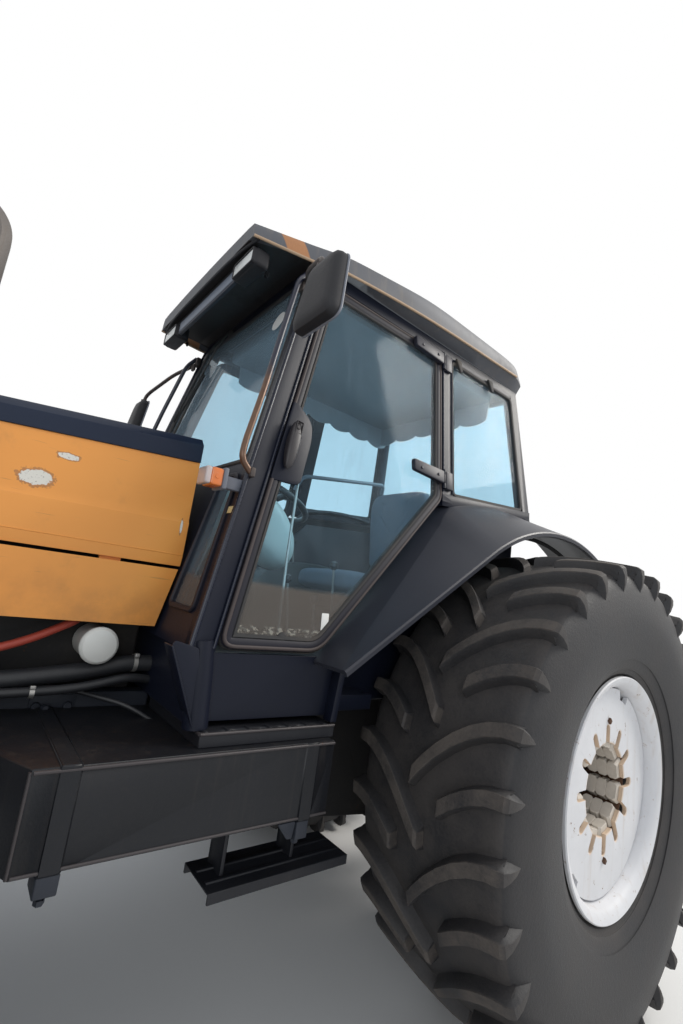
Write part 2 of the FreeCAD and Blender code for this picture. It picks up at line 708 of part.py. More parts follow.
def hood():
    """Top cover with slanted shoulders, creased upper side panels, and the lower panels under them."""
    half = s.hood_half.value
    thick = s.panel_thick.value
    shoulder = s.hood_shoulder.value
    rear = s.hood_rear.value
    front = HOOD_FRONT.value

    def cover(x, inset, low_more):
        top = hood_line(x, s.hood_top_rear, s.hood_top_front) - inset
        low = hood_line(x, s.band_low_rear, s.band_low_front) - low_more
        wide = half - inset
        return [v(x, y, z) for y, z in (
            (-wide, low), (-wide, top - shoulder), (shoulder - wide, top), (wide - shoulder, top),
            (wide, top - shoulder), (wide, low))]

    outer = ruled([cover(rear, 0, 0), cover(front, 0, 0)])
    inner = ruled([cover(rear - 1, thick, 60), cover(front - thick, thick, 60)])
    hole = rod("ExhaustHole", "Z", s.pipe_radius + 10, (ENGINE_FRONT - 285, -150, 1500), 600)
    node("hood_top", cut("HoodTopShell", shape("HoodCover", outer.cut(inner)), hole))

    seat = s.seat_gap.value
    deep = s.crease_deep.value
    end = front - 56 - seat
    split = s.panel_split.value

    def upper_section(x):
        top = hood_line(x, s.band_low_rear, s.band_low_front) - seat
        crease = top - s.crease_drop.value * (top - split) / (s.band_low_rear.value - split)
        return [v(x, y, z) for y, z in (
            (half - thick, split), (half - deep, split), (half, split + 32), (half, crease),
            (half - deep, crease + 12),
            (half - deep, top), (half - thick, top))]

    upper = shape("UpperPanel", ruled([upper_section(rear), upper_section(end)]))
    lower = prism("LowerPanel", "side", [
        (s.hood_rear + 44, s.panel_bottom), (s.hood_rear + 6, s.panel_split - s.panel_gap),
        (HOOD_FRONT - 56 - s.seat_gap, s.panel_split - s.panel_gap), (HOOD_FRONT - 160, s.panel_bottom),
    ], s.hood_half - s.panel_thick, s.hood_half)
    inside = s.hood_half - s.panel_thick
    tabs = []
    for i, x in enumerate((s.hood_rear + 175, (s.hood_rear + HOOD_FRONT) / 2, HOOD_FRONT - 300)):
        tabs.append(box("PanelTab%d" % i, (x, x + 60), (inside - 16, inside - s.seat_gap),
                        (s.panel_split - 60, s.panel_split + 30)))
        tabs.append(box("PanelFoot%d" % i, (x, x + 60), (inside - 16, inside + 4),
                        (s.panel_split - 60, s.panel_split - 20)))
    low_panel = joined("LowerPanelTabs", lower, *tabs)
    node("hood_side_panels", *both("UpperPanel", upper), *both("LowerPanel", low_panel))


def nose():
    """Grille frame with its slats, and the radiator behind it."""
    low = s.rail_top + 80 + s.seat_gap
    half = s.hood_half - 30
    frame = prism("GrilleFrame", "front", [
        (-half, low), (-half, s.band_low_front - s.seat_gap), (half, s.band_low_front - s.seat_gap),
        (half, low),
    ], HOOD_FRONT - 56, HOOD_FRONT - 8)
    window = prism("GrilleWindow", "front", [
        (60 - half, low + 50), (30 - half, low + 110), (30 - half, s.band_low_front - 180),
        (half - 30, s.band_low_front - 180), (half - 30, low + 110), (half - 60, low + 50),
    ], HOOD_FRONT - 80, HOOD_FRONT + 10)
    slats = [
        box("Slat%d" % i, (HOOD_FRONT - 44, HOOD_FRONT - 20), (25 - half, half - 25),
            (low + 75 + 36 * i, low + 85 + 36 * i))
        for i in range(8)
    ]
    node("grille", joined("Grille", cut("GrilleOpen", frame, window), *slats))
    node("radiator", box("Radiator", (HOOD_FRONT - 340, HOOD_FRONT - 220), (-s.rail_half, s.rail_half),
                         (low, s.band_low_front - 35)))


def exhaust():
    """Upright pipe, open at its forward bent mouth."""
    x = (ENGINE_FRONT - 285).value
    y = -150
    bend = 90
    top = 2560
    foot = (s.engine_top + s.seat_gap).value
    radius = s.pipe_radius.value
    bore = radius - 5
    path = Part.Wire([
        Part.LineSegment(v(x, y, foot), v(x, y, top)).toShape(),
        Part.Arc(v(x, y, top), v(x + bend * (1 - math.cos(math.pi / 6)), y, top + bend * 0.5),
                 v(x + bend * 0.5, y, top + bend * math.sin(math.pi / 3))).toShape(),
    ])
    outer = path.makePipeShell([eight_sided(v(x, y, foot), Vector(0, 0, 1), radius)], True, True)
    inner = path.makePipeShell([eight_sided(v(x, y, foot), Vector(0, 0, 1), bore)], True, True)
    closed = Part.makeBox(4 * radius, 4 * radius, 700, v(x - 2 * radius, y - 2 * radius, foot - 10))
    node("exhaust_stack", shape("ExhaustStack", outer.cut(inner.cut(closed))))


def engine_side():
    """The pale filter canister and the hoses held along the engine."""
    side = s.engine_half + s.seat_gap
    canister = turned("FilterCanister", [
        (side, 0), (side, 40), (side + 12, 52), (side + 122, 52), (side + 130, 46), (side + 140, 46),
        (side + 140, 0),
    ], s.engine_rear + 142, 1250)
    node("filter_canister", canister)
    hoses = []
    cab = s.front_foot_x - 20 + s.seat_gap
    near = s.engine_rear
    far = ENGINE_FRONT
    # Columns: name, radius, path points (x, y, z)
    table = [
        ("RedHose", 12, [(near + 195, side, 1312), (near + 195, 330, 1312), (near + 310, 330, 1250),
                         (near + 460, 330, 1196), (far - 240, 330, 1205), (far - 240, side, 1205)]),
        ("BlackHose", 24, [(cab, 345, 1195), (near + 40, 345, 1195), (near + 160, 345, 1168),
                           (near + 370, 350, 1142), (far - 220, 350, 1146), (far - 220, side, 1146)]),
    ]
    for name, radius, points in table:
        hoses.append(shape(name, hose([v(*p) for p in points], radius)))
    node("engine_hoses", *hoses)


def eight_sided(centre, along, radius):
    """An eight-sided ring as wide as a round one, square to a direction."""
    across = along.cross(Vector(0, 0, 1) if abs(along.z) < 0.9 else Vector(0, 1, 0)).normalize()
    other = along.cross(across).normalize()
    corners = []
    for k in range(8):
        turn = math.pi * (k + 0.5) / 4
        corners.append(centre + (across * math.cos(turn) + other * math.sin(turn)) * float(radius))
    return wire(corners)


def hose(points, radius):
    """Straight runs joined by tangent arcs as large as the runs allow."""
    edges = []
    last = points[0]
    for before, here, after in zip(points, points[1:], points[2:]):
        back = before - here
        on = after - here
        turn = math.pi - back.getAngle(on)
        reach = 0.45 * min(back.Length, on.Length)
        bend = reach / math.tan(turn / 2)
        back.normalize()
        on.normalize()
        enter = here + back * reach
        leave = here + on * reach
        gap = bend / math.cos(turn / 2) - bend
        middle = here + (back + on).normalize() * gap
        edges.append(Part.LineSegment(last, enter).toShape())
        edges.append(Part.Arc(enter, middle, leave).toShape())
        last = leave
    edges.append(Part.LineSegment(last, points[-1]).toShape())
    start = (points[1] - points[0]).normalize()
    return Part.Wire(edges).makePipeShell([eight_sided(points[0], start, radius)], True, True)


# Side boxes and steps

def side_boxes():
    """A box under each side of the cab, held by a strap in front and one behind."""
    inner = s.rail_half + s.seat_gap
    tank = prism("SideBox", "plan", [
        (s.tank_rear, inner), (s.tank_rear, s.tank_half), (TANK_FRONT, s.tank_half),
        (TANK_NOSE, s.rail_half + 180),
        (TANK_NOSE, inner),
    ], s.tank_bottom, s.tank_top)
    thick = s.strap_thick
    out = s.tank_half + thick
    low = s.tank_bottom - thick
    front_strap = prism("FrontStrap", "front", [
        (inner, s.tank_top - 20), (inner, s.tank_top + thick), (out, s.tank_top + thick), (out, low),
        (inner, low),
        (inner, s.tank_bottom + 20), (s.tank_half - 20, s.tank_bottom + 20),
        (s.tank_half - 20, s.tank_top - 20),
    ], TANK_FRONT - 92, TANK_FRONT - 52)
    rear_strap = prism("RearStrap", "front", [
        (s.tank_half - 20, s.tank_top), (out, s.tank_top), (out, low), (inner, low),
        (inner, s.tank_bottom + 20),
        (s.tank_half - 20, s.tank_bottom + 20),
    ], s.tank_rear + 60, s.tank_rear + 100)
    node("side_boxes", *both("SideBox", joined("StrappedBox", tank, front_strap, rear_strap)))


def steps():
    """Platform on each side box, and a ribbed step that hangs below it."""
    low = s.tank_top + s.seat_gap
    top = s.tank_top + 36
    sheet_thick = 6
    inner = s.rail_half + 20
    platform = prism("Platform", "front", [
        (inner, low), (inner, top), (s.step_half, top), (s.step_half, low),
        (s.step_half - sheet_thick, low),
        (s.step_half - sheet_thick, top - sheet_thick), (inner + sheet_thick, top - sheet_thick),
        (inner + sheet_thick, low),
    ], s.step_rear, s.step_front)
    ends = [
        box("PlatformEnd%d" % i, (x, x + sheet_thick), (inner, s.step_half), (low, top))
        for i, x in enumerate((s.step_rear, s.step_front - sheet_thick))
    ]
    grips = [
        box("PlatformGrip%d" % i, (s.step_rear + 30 + 64 * i, s.step_rear + 40 + 64 * i),
            (s.sill_half + 2, s.step_half - 4), (top, top + 3))
        for i in range(7)
    ]
    tread = prism("LowStep", "front", [
        (540, s.low_step_z - 28), (540, s.low_step_z), (700, s.low_step_z), (700, s.low_step_z - 28),
        (694, s.low_step_z - 28), (694, s.low_step_z - 6), (546, s.low_step_z - 6),
        (546, s.low_step_z - 28),
    ], 980, 1450)
    ribs = [
        box("StepRib%d" % i, (990, 1440), (y, y + 12), (s.low_step_z, s.low_step_z + 5))
        for i, y in enumerate((590, 650))
    ]
    hangers = [
        box("Hanger%d" % i, (x, x + 12), (560, 640), (s.low_step_z - 6, s.tank_bottom - s.seat_gap))
        for i, x in enumerate((1150, 1380))
    ]
    node("steps", *both("Platform", joined("PlatformTray", platform, *ends, *grips)),
         *both("LowerStep", joined("LowerStep", tread, *ribs, *hangers)))


# Cab

SIDE_LEAN = (s.sill_half.value - s.eave_half.value) / (s.eave_z.value - s.sill_z.value)
FRONT_LEAN = (s.front_foot_x.value - s.front_head_x.value) / (s.eave_z.value - s.sill_z.value)


def side_y(z):
    """Outer face of the cab's side at a height: it leans in towards the roof."""
    return s.sill_half.value - SIDE_LEAN * (float(z) - s.sill_z.value)


def front_x(z):
    """Front face of the cab at a height: it leans back towards the roof."""
    return s.front_foot_x.value - FRONT_LEAN * (float(z) - s.sill_z.value)


SIDE_IN = Vector(0, -1, -SIDE_LEAN).normalize()
FRONT_IN = Vector(-1, 0, -FRONT_LEAN).normalize()


def on_side(x, z, inset=0.0):
    """A point in the cab's side plane, or a distance inside it."""
    return v(x, side_y(z), z) + SIDE_IN * float(inset)


def on_front(y, z, inset=0.0):
    """A point in the cab's front plane, or a distance behind it."""
    return v(front_x(z), y, z) + FRONT_IN * float(inset)


def low_rail_z(x):
    """Top of the rail under a rear side window."""
    start = s.knee_x.value + 35
    end = s.rear_foot_x.value - 28
    return s.knee_z.value + 31 + 70 * (start - x) / (start - end)


def rear_pillar_x(z):
    """Middle of a rear pillar at a height."""
    foot = s.knee_z.value + 50
    share = (z - foot) / (s.eave_z.value - foot)
    return s.rear_foot_x.value + (s.rear_head_x.value - s.rear_foot_x.value) * share


def cab_floor():
    """Floor, sills, front bulkhead, the walls between the wheels and the rear wall of the lower cab."""
    low = s.cab_floor_z - s.floor_thick
    front_plate = box("FloorFront", (900, s.front_foot_x - 20), (-640, 640), (low, s.cab_floor_z))
    rear_plate = box("FloorRear", (s.rear_foot_x, 920), (-s.cab_rear_half, s.cab_rear_half),
                     (low, s.cab_floor_z))
    sill = prism("Sill", "side", [
        (1115, low), (1085, s.sill_z - 12), (s.front_foot_x - 20, s.sill_z - 12),
        (s.front_foot_x - 20, low),
    ], 636, 676)
    bulkhead = box("Bulkhead", (s.front_foot_x - 60, s.front_foot_x - 20), (-676, 676),
                   (low, s.sill_z - 12))
    side_wall = prism("SideWall", "side", [
        (s.rear_foot_x, low), (s.rear_foot_x, s.knee_z - 10), (s.knee_x - 30, s.knee_z - 60),
        (1090, s.sill_z + 10),
        (1115, low),
    ], s.cab_rear_half - 24, s.cab_rear_half)
    step_wall = box("StepWall", (1085, 1115), (s.cab_rear_half - 24, 676), (low, s.sill_z - 12))
    rear_wall = box("RearWall", (s.rear_foot_x, s.rear_foot_x + 40), (-s.cab_rear_half, s.cab_rear_half),
                    (low, s.knee_z - 10))
    return joined("CabFloor", front_plate, rear_plate, *both("Sill", sill), bulkhead,
                  *both("SideWall", side_wall), *both("StepWall", step_wall), rear_wall)


def cab_frame():
    """Six pillars with the rails that join them, cut level where they stand on the sills."""
    wide = s.pillar_wide.value
    deep = s.pillar_deep.value
    eave = s.eave_z.value
    foot = s.sill_z.value - 12
    knee = s.knee_z.value
    rail = 50.0
    bars = []
    for side in (1, -1):
        def corner(x, z, inset=deep / 2):
            return v(x, side * (side_y(z) - inset), z)

        bars.append(bar(corner(front_x(foot - 40) - wide / 2, foot - 40),
                        corner(front_x(eave) - wide / 2, eave),
                        wide, deep))
        bars.append(bar(corner(s.knee_x.value, knee), corner(s.knee_x.value, eave), wide, deep))
        bars.append(bar(corner(s.rear_foot_x.value, knee + 50), corner(s.rear_head_x.value, eave),
                        wide * 0.8, deep))
        bars.append(bar(corner(front_x(eave) - 5, eave - rail / 2),
                        corner(s.rear_head_x.value - 28, eave - rail / 2),
                        rail, deep))
        bars.append(bar(corner(s.knee_x.value + 35, knee + 5), corner(s.rear_foot_x.value - 28, knee + 75),
                        rail, deep))
    for x, z, thick in ((front_x(eave - rail / 2) - 32, eave - rail / 2, 60),
                        (s.rear_head_x.value, eave - rail / 2, 50),
                        (s.rear_foot_x.value, knee + 70, 50)):
        half = side_y(z) - 10
        bars.append(bar(v(x, -half, z), v(x, half, z), rail, thick, Vector(1, 0, 0)))
    high = 2000
    level = Part.makeBox(3 * high, 2 * high, high, v(-high, -high, foot + s.seat_gap.value - high))
    above = Part.makeBox(3 * high, 2 * high, high, v(-high, -high, eave))
    _, on_pillar, _ = hinge_parts()
    other_side = [piece.mirror(Vector(), Vector(0, 1, 0)) for piece in on_pillar]
    return shape("CabFrame", fused([*bars, *on_pillar, *other_side]).cut(level).cut(above))


# Columns: end of the cab's top that a section is measured from, distance ahead of it, edge of the flat
# underside outside the eave, inset of the cap's side, then heights over the eave: underside, lower and upper
# edge of the side lip, crown
ROOF = (
    ("rear", -47, -11, 40, 0, 45, 88, 98),
    ("rear", 55, 6, 4, 0, 52, 127, 140),
    ("rear", 735, 6, 0, 0, 30, 136, 150),
    ("front", -120, 6, 8, 0, -6, 78, 105),
    ("front", 20, 6, 28, 0, -28, 50, 78),
    ("front", 256, -61, 75, -34, -36, 22, 32),
)


def roof():
    """Crowned cap with a turned down lip, a visor over the windscreen, and the lining under it."""
    eave = (s.eave_z + s.seat_gap).value
    ends = {"rear": s.rear_head_x.value, "front": s.front_head_x.value}
    sections = []
    for place_from, ahead, outside, inset, under, lip_low, lip_top, crown in ROOF:
        x = ends[place_from] + ahead
        flat = s.eave_half.value + outside
        half = s.roof_half.value - inset
        sections.append([v(x, y, eave + z) for y, z in (
            (-flat, under), (-half, lip_low), (-half, lip_top), (60 - half, crown - 4), (0, crown),
            (half - 60, crown - 4), (half, lip_top), (half, lip_low), (flat, under))])
    cap = shape("RoofCap", ruled(sections))
    lining = prism("RoofLining", "front", [
        (-430, eave + 4), (-430, eave - 44), (-385, eave - 76), (385, eave - 76), (430, eave - 44),
        (430, eave + 4),
    ], s.rear_head_x + 75, s.front_head_x - 100)
    whole = joined("RoofWhole", cap, lining)
    node("roof", whole)
    return whole


def plate_on_side(corners, radii, inset, thick):
    """A flat plate in the leaning plane of the cab's side, given its corners as (x, z)."""
    face = Part.Face(rounded(corners, radii, lambda x, z: on_side(x, z, inset)))
    return face.extrude(SIDE_IN * thick)


def door_corners(shrink):
    """Corners of the door, as (x, z), moved in by a width."""
    top = s.eave_z.value - 50 - s.door_gap.value
    low = s.sill_z.value
    gap = s.door_gap.value
    back = s.knee_x.value + s.pillar_wide.value / 2 + gap
    knee = s.knee_z.value
    low_back = s.knee_x.value + 640
    front_low = front_x(low) - s.pillar_wide.value - gap
    front_top = front_x(top) - s.pillar_wide.value - gap
    slope = math.hypot(low_back - back, knee - low) / (knee - low)
    return [
        (back + shrink, knee + shrink * 0.45), (low_back + shrink * slope * 0.35, low + shrink),
        (front_low - shrink, low + shrink), (front_top - shrink, top - shrink),
        (back + shrink, top - shrink),
    ]


def hinge_spot(z):
    """A point of a door's hinge axis at a height, just outside the cab's side."""
    return on_side(s.knee_x.value + s.pillar_wide.value / 2 + s.door_gap.value / 2, z, -s.hinge_out.value)


def hinge_parts():
    """Two hinges of a left door: the door's knuckles, the pillar's knuckles with the pins, and the holes."""
    up = (hinge_spot(2600) - hinge_spot(2000)).normalize()
    turn = Rotation(Vector(0, 0, 1), up)
    radius = s.hinge_radius.value
    pin = s.hinge_pin_radius.value
    gap = s.run_gap.value
    out = s.hinge_out.value
    leaf_long = s.hinge_leaf.value
    thick = radius * 0.8
    on_door = []
    on_pillar = []
    holes = []
    for z in (s.hinge_low_z.value, s.hinge_high_z.value):
        middle = hinge_spot(z)
        spot = Placement(middle, turn)
        leaf = Part.makeBox(leaf_long, thick, 40, v(0, -out, -20))
        leaf.Placement = spot
        on_door += [Part.makeCylinder(radius, 40, middle - up * 20, up), leaf]
        holes.append(Part.makeCylinder(pin + gap, 60, middle - up * 30, up))
        for low in (-42 - gap, 20 + gap):
            leaf = Part.makeBox(leaf_long, thick, 22, v(-leaf_long, -out, low))
            leaf.Placement = spot
            on_pillar += [Part.makeCylinder(radius, 22, middle + up * low, up), leaf]
        on_pillar.append(Part.makeCylinder(pin, 84, middle - up * 42, up))
    return on_door, on_pillar, holes


def door_handle():
    """Plate on the front of a left door's frame with the grip that stands out from it."""
    edge = s.pillar_wide.value + s.door_gap.value

    def off_edge(back, z):
        """A corner as (x, z), behind the door's front edge."""
        return front_x(z) - edge - back, z

    plate = plate_on_side([off_edge(2, 1812), off_edge(2, 2098), off_edge(82, 2050), off_edge(108, 1852)],
                          [14, 14, 14, 20], -4, 9)
    grip = plate_on_side([off_edge(30, 1854), off_edge(14, 2016), off_edge(38, 2024), off_edge(62, 1864)],
                         [8, 8, 8, 8], -34, 14)
    feet = [
        plate_on_side([off_edge(34, z), off_edge(30, z + 24), off_edge(44, z + 24), off_edge(54, z)],
                      [0, 0, 0, 0],
                      -26, 26)
        for z in (1866, 1986)
    ]
    return [plate, grip, *feet]


def doors():
    radii = [30, 40, 30, 70, 60]
    inner_radii = [40, 50, 40, 60, 50]
    border = s.door_border.value
    thick = s.door_thick.value
    panel = plate_on_side(door_corners(0), radii, 0, thick)
    opening = plate_on_side(door_corners(border), inner_radii, -5, thick + 10)
    on_door, _, holes = hinge_parts()
    solid = fused([panel.cut(opening), *on_door, *door_handle()])
    for hole in holes:
        solid = solid.cut(hole)
    frame = shape("DoorLeft", solid)
    seat = s.seat_gap.value
    pane = plate_on_side(door_corners(border + seat), inner_radii, 6, s.glass_thick.value)
    glass = shape("DoorGlassLeft", pane)
    node("door_left", frame)
    node("door_right", mirrored("DoorRight", frame))
    node("door_glass_left", glass)
    node("door_glass_right", mirrored("DoorGlassRight", glass))


def fixed_glass(frame):
    """Windscreen, front lower windows, rear side windows and rear window."""
    thick = s.glass_thick.value
    seat = s.seat_gap.value
    eave = s.eave_z.value - 50 - seat
    inner = s.pillar_deep.value + seat
    wide = s.pillar_wide.value
    front_edge = s.knee_x.value - wide / 2 - seat
    rear_edge = s.rear_foot_x.value + wide * 0.4 + 10
    rear_side = plate_on_side([
        (front_edge, low_rail_z(front_edge) + 2), (front_edge, eave),
        (rear_pillar_x(eave) + wide * 0.4 + 2, eave),
        (rear_edge, low_rail_z(rear_edge) + 2),
    ], [20, 20, 20, 20], 8, thick)
    foot = s.windscreen_low_z.value
    face = Part.Face(rounded([
        (side_y(foot) - inner, foot), (side_y(eave) - inner, eave), (inner - side_y(eave), eave),
        (inner - side_y(foot), foot),
    ], [30, 30, 30, 30], lambda y, z: on_front(y, z, 8)))
    windscreen = face.extrude(FRONT_IN * thick)
    face = Part.Face(rounded(quarter_corners(seat), [14, 14, 14, 14], lambda y, z: on_front(y, z, 8)))
    quarter = face.extrude(FRONT_IN * thick)
    knee = low_rail_z(s.rear_foot_x.value) + 2
    half_low = side_y(knee) - inner
    half_high = side_y(eave) - inner
    lean = (rear_pillar_x(eave) - rear_pillar_x(knee)) / (eave - knee)
    rear_face = Part.Face(rounded([
        (half_low, knee), (half_high, eave), (-half_high, eave), (-half_low, knee),
    ], [20, 20, 20, 20], lambda y, z: v(rear_pillar_x(z) - 3, y, z)))
    rear = rear_face.extrude(Vector(1, 0, -lean).normalize() * thick)
    side = shape("RearSideWindow", rear_side.cut(frame.Shape))
    node("fixed_glass", shape("Windscreen", windscreen.cut(frame.Shape)),
         shape("RearWindow", rear.cut(frame.Shape)),
         *both("RearSideWindow", side), *both("QuarterWindow", shape("QuarterWindow", quarter)))


def quarter_corners(shrink):
    """Corners of a front lower window, as (y, z)."""
    low = s.sill_z.value + 90 + shrink
    high = s.quarter_top_z.value - shrink
    inner = s.hood_half.value + 26 + shrink
    edge = s.pillar_deep.value + 20 + shrink
    return [(inner, low), (side_y(low) - edge, low), (side_y(high) - edge, high), (inner, high)]


def front_panel():
    """Wall beside and behind the hood below the windscreen, with the two front lower windows."""
    low = s.sill_z.value - 12 + s.seat_gap.value
    high = s.windscreen_low_z.value - s.seat_gap.value
    inner = s.pillar_deep.value + s.seat_gap.value
    outer = Part.Face(rounded([
        (side_y(low) - inner, low), (side_y(high) - inner, high), (inner - side_y(high), high),
        (inner - side_y(low), low),
    ], [0, 0, 0, 0], lambda y, z: on_front(y, z, 2)))
    panel = outer.extrude(FRONT_IN * 34)
    for side in (1, -1):
        window = Part.Face(rounded([(side * y, z) for y, z in quarter_corners(0)], [14, 14, 14, 14],
                                   lambda y, z: on_front(y, z, -10)))
        panel = panel.cut(window.extrude(FRONT_IN * 60))
    level = Part.makeBox(200, 1400, 60, v(s.front_foot_x.value - 150, -700, low - 60))
    return shape("FrontPanel", panel.cut(level))


def fenders(frame, floor):
    """Ruled shell from the cab's side out to the lip: a slanted front and an arch over the wheel."""
    z0 = s.rear_tyre_radius.value
    lip = s.lip_radius.value
    thick = s.fender_thick.value
    root_y = s.cab_rear_half.value + s.seat_gap.value

    def band(y, tip, tip_low, outer, inner):
        """Closed wire: from the front corner up to the shoulder, along an arc and back inside it."""
        spots = [v(x, y, z) for x, z in [tip, *outer, *reversed(inner), tip_low]]
        return wire([spots[0], spots[1], (spots[2], True), spots[3], spots[4], (spots[5], True),
                     spots[6], spots[7]])

    turns = [math.radians(a) for a in (58, 100, 142)]
    tip = (s.lip_x_front.value, s.lip_z_front.value)
    lip_outer = [(lip * math.cos(a), z0 + lip * math.sin(a)) for a in turns]
    lip_inner = [((lip - thick) * math.cos(a), z0 + (lip - thick) * math.sin(a)) for a in turns]
    rim = band((REAR_TRACK_HALF - s.lip_inset).value, tip, (tip[0] - 6, tip[1] - 34), lip_outer, lip_inner)
    rise = s.knee_z.value
    root_outer = [(s.knee_x.value - 20, rise + 28), (-20, rise + 66), (-870, rise - 340)]
    root_inner = [(x - 12 if x > 0 else x + 14, z - thick * 1.2) for x, z in root_outer]
    root_tip = (tip[0] - 30, tip[1] - 8)
    root = band(root_y, root_tip, (root_tip[0] - 6, root_tip[1] - 34), root_outer, root_inner)
    shell = Part.makeLoft([root, rim], True, True)
    left = shape("FenderShell", shell)
    node("rear_fenders", *both("Fender", cut("Fender", left, frame, floor)))


def cab_inside(floor):
    """Seat, steering column and dash."""
    on_floor = s.cab_floor_z + s.seat_gap
    base = prism("SeatBase", "side", [
        (250, on_floor), (270, 1300), (310, 1490), (610, 1490), (640, 1300), (660, on_floor),
    ], -180, 180)
    cushion = prism("SeatCushion", "side", [
        (230, 1480), (215, 1560), (330, 1578), (660, 1604), (728, 1590), (744, 1540), (700, 1480),
    ], -250, 250)
    back = prism("SeatBack", "side", [
        (215, 1540), (150, 1800), (128, 2060), (145, 2112), (190, 2122), (222, 2090), (262, 1800),
        (285, 1590),
    ], -235, 235)
    node("seat", joined("Seat", base, cushion, back))
    column = cut("Column", shape("ColumnBar", bar(v(1338, 0, s.cab_floor_z - 20), v(1122, 0, 1845), 70,
                                                  90)), floor)
    hub = Vector(1120, 0, 1850)
    post = Rotation(Vector(0, 1, 0), -20).multVec(Vector(0, 0, 1))
    ring = eight_sided(hub + Vector(0, 200, 0), Vector(1, 0, 0), 15)
    ring.rotate(hub + Vector(0, 200, 0), Vector(0, 1, 0), -20)
    wheel = shape("SteeringWheel", Part.Face(ring).revolve(hub, post, 360))
    spokes = shape("Spokes", bar(v(1120, -195, 1850), v(1120, 195, 1850), 26, 20,
                                 Vector(1, 0, 0.36).normalize()))
    cross = shape("SpokesAlong", bar(v(935, 0, 1783), v(1305, 0, 1917), 26, 12,
                                     Vector(-0.34, 0, 0.94).normalize()))
    node("steering_column", joined("SteeringColumn", column, wheel, spokes, cross))
    back = 36 / math.cos(math.atan(FRONT_LEAN)) + s.seat_gap.value
    low = s.sill_z.value - 10
    top = s.quarter_top_z.value
    dash = prism("Dash", "side", [
        (1500, low), (1300, top - 110), (1340, top), (front_x(top) - back, top), (front_x(low) - back, low),
    ], -380, 380)
    room = box("ColumnRoom", (1000, 1420), (-60, 60), (1000, 1900))
    console = prism("SideConsole", "side", [
        (300, on_floor), (280, 1560), (340, 1630), (640, 1640), (860, 1560), (900, 1440), (880, on_floor),
    ], -470, -330)
    node("dash_console", cut("DashOpen", dash, room), console)


# Mirrors, lamps and rails

def mirrors(frame):
    """Head on a tube that stands out from the front pillar, clear of the door's swing."""
    root_z = s.eave_z.value - 130
    arm = fused([
        bar(v(front_x(root_z) - 20, side_y(root_z) + s.seat_gap.value, root_z), v(1500, 872, 2470), 24, 24),
        bar(v(1500, 860, 2482), v(1500, 884, 2200), 24, 24),
    ]).cut(frame.Shape)

    def face(grow, forward):
        """The head's outline, as (y, z) on its leaning plane."""
        corners = [(797 - grow, 2180 - grow), (987 + grow, 2180 - grow), (987 + grow, 2452 + grow),
                   (797 - grow, 2452 + grow)]
        return rounded(corners, [45, 45, 45, 45], lambda y, z: v(1508 + forward - (z - 2180) * 0.13, y, z))

    head = Part.makeLoft([face(0, 0), face(0, 24), face(-22, 48)], True, True)
    node("mirrors", *both("Mirror", shape("Mirror", arm.fuse(head))))


def lamps(frame, cap):
    """Work lamps under the visor, headlamps in the nose and indicators on the front pillars."""
    x = s.front_head_x
    z = s.eave_z
    work = prism("WorkLamp", "side", [
        (x + 170, z - 124), (x + 184, z - 140), (x + 232, z - 144), (x + 242, z - 134), (x + 242, z - 66),
        (x + 232, z - 58), (x + 184, z - 60), (x + 170, z - 74),
    ], 350, 460)
    foot = cut("WorkLampFoot", box("WorkLampBar", (x + 200, x + 230), (390, 420), (z - 65, z)), cap)
    nose_face = HOOD_FRONT - 8 + s.seat_gap
    head = prism("HeadLamp", "front", [
        (150, s.band_low_front - 155), (150, s.band_low_front - 35), (300, s.band_low_front - 35),
        (320, s.band_low_front - 55), (320, s.band_low_front - 125), (290, s.band_low_front - 155),
    ], nose_face, nose_face + 22)
    side = box("Indicator", (1590, 1650), (590, 660), (1735, 1795))
    arm = cut("IndicatorArm", box("IndicatorBar", (front_x(1745) - 12, 1595), (590, 620), (1745, 1785)),
              frame)
    node("lamps", *both("WorkLamp", joined("WorkLampFront", work, foot)), *both("HeadLamp", head),
         *both("Indicator", joined("IndicatorFront", side, arm)))


def handrails(frame):
    high = s.eave_z.value - 100
    low = s.windscreen_low_z.value - 10
    rail = shape("Handrail", hose([
        v(front_x(high) + s.seat_gap.value, side_y(high) - 22, high),
        v(front_x(high) + 60, side_y(high) - 5, high - 12),
        v(front_x(low) + 62, side_y(low) + 12, low + 25),
        v(front_x(low) + s.seat_gap.value, side_y(low) - 20, low),
    ], 13).cut(frame.Shape))
    node("handrails", *both("Handrail", rail))


# Hitch

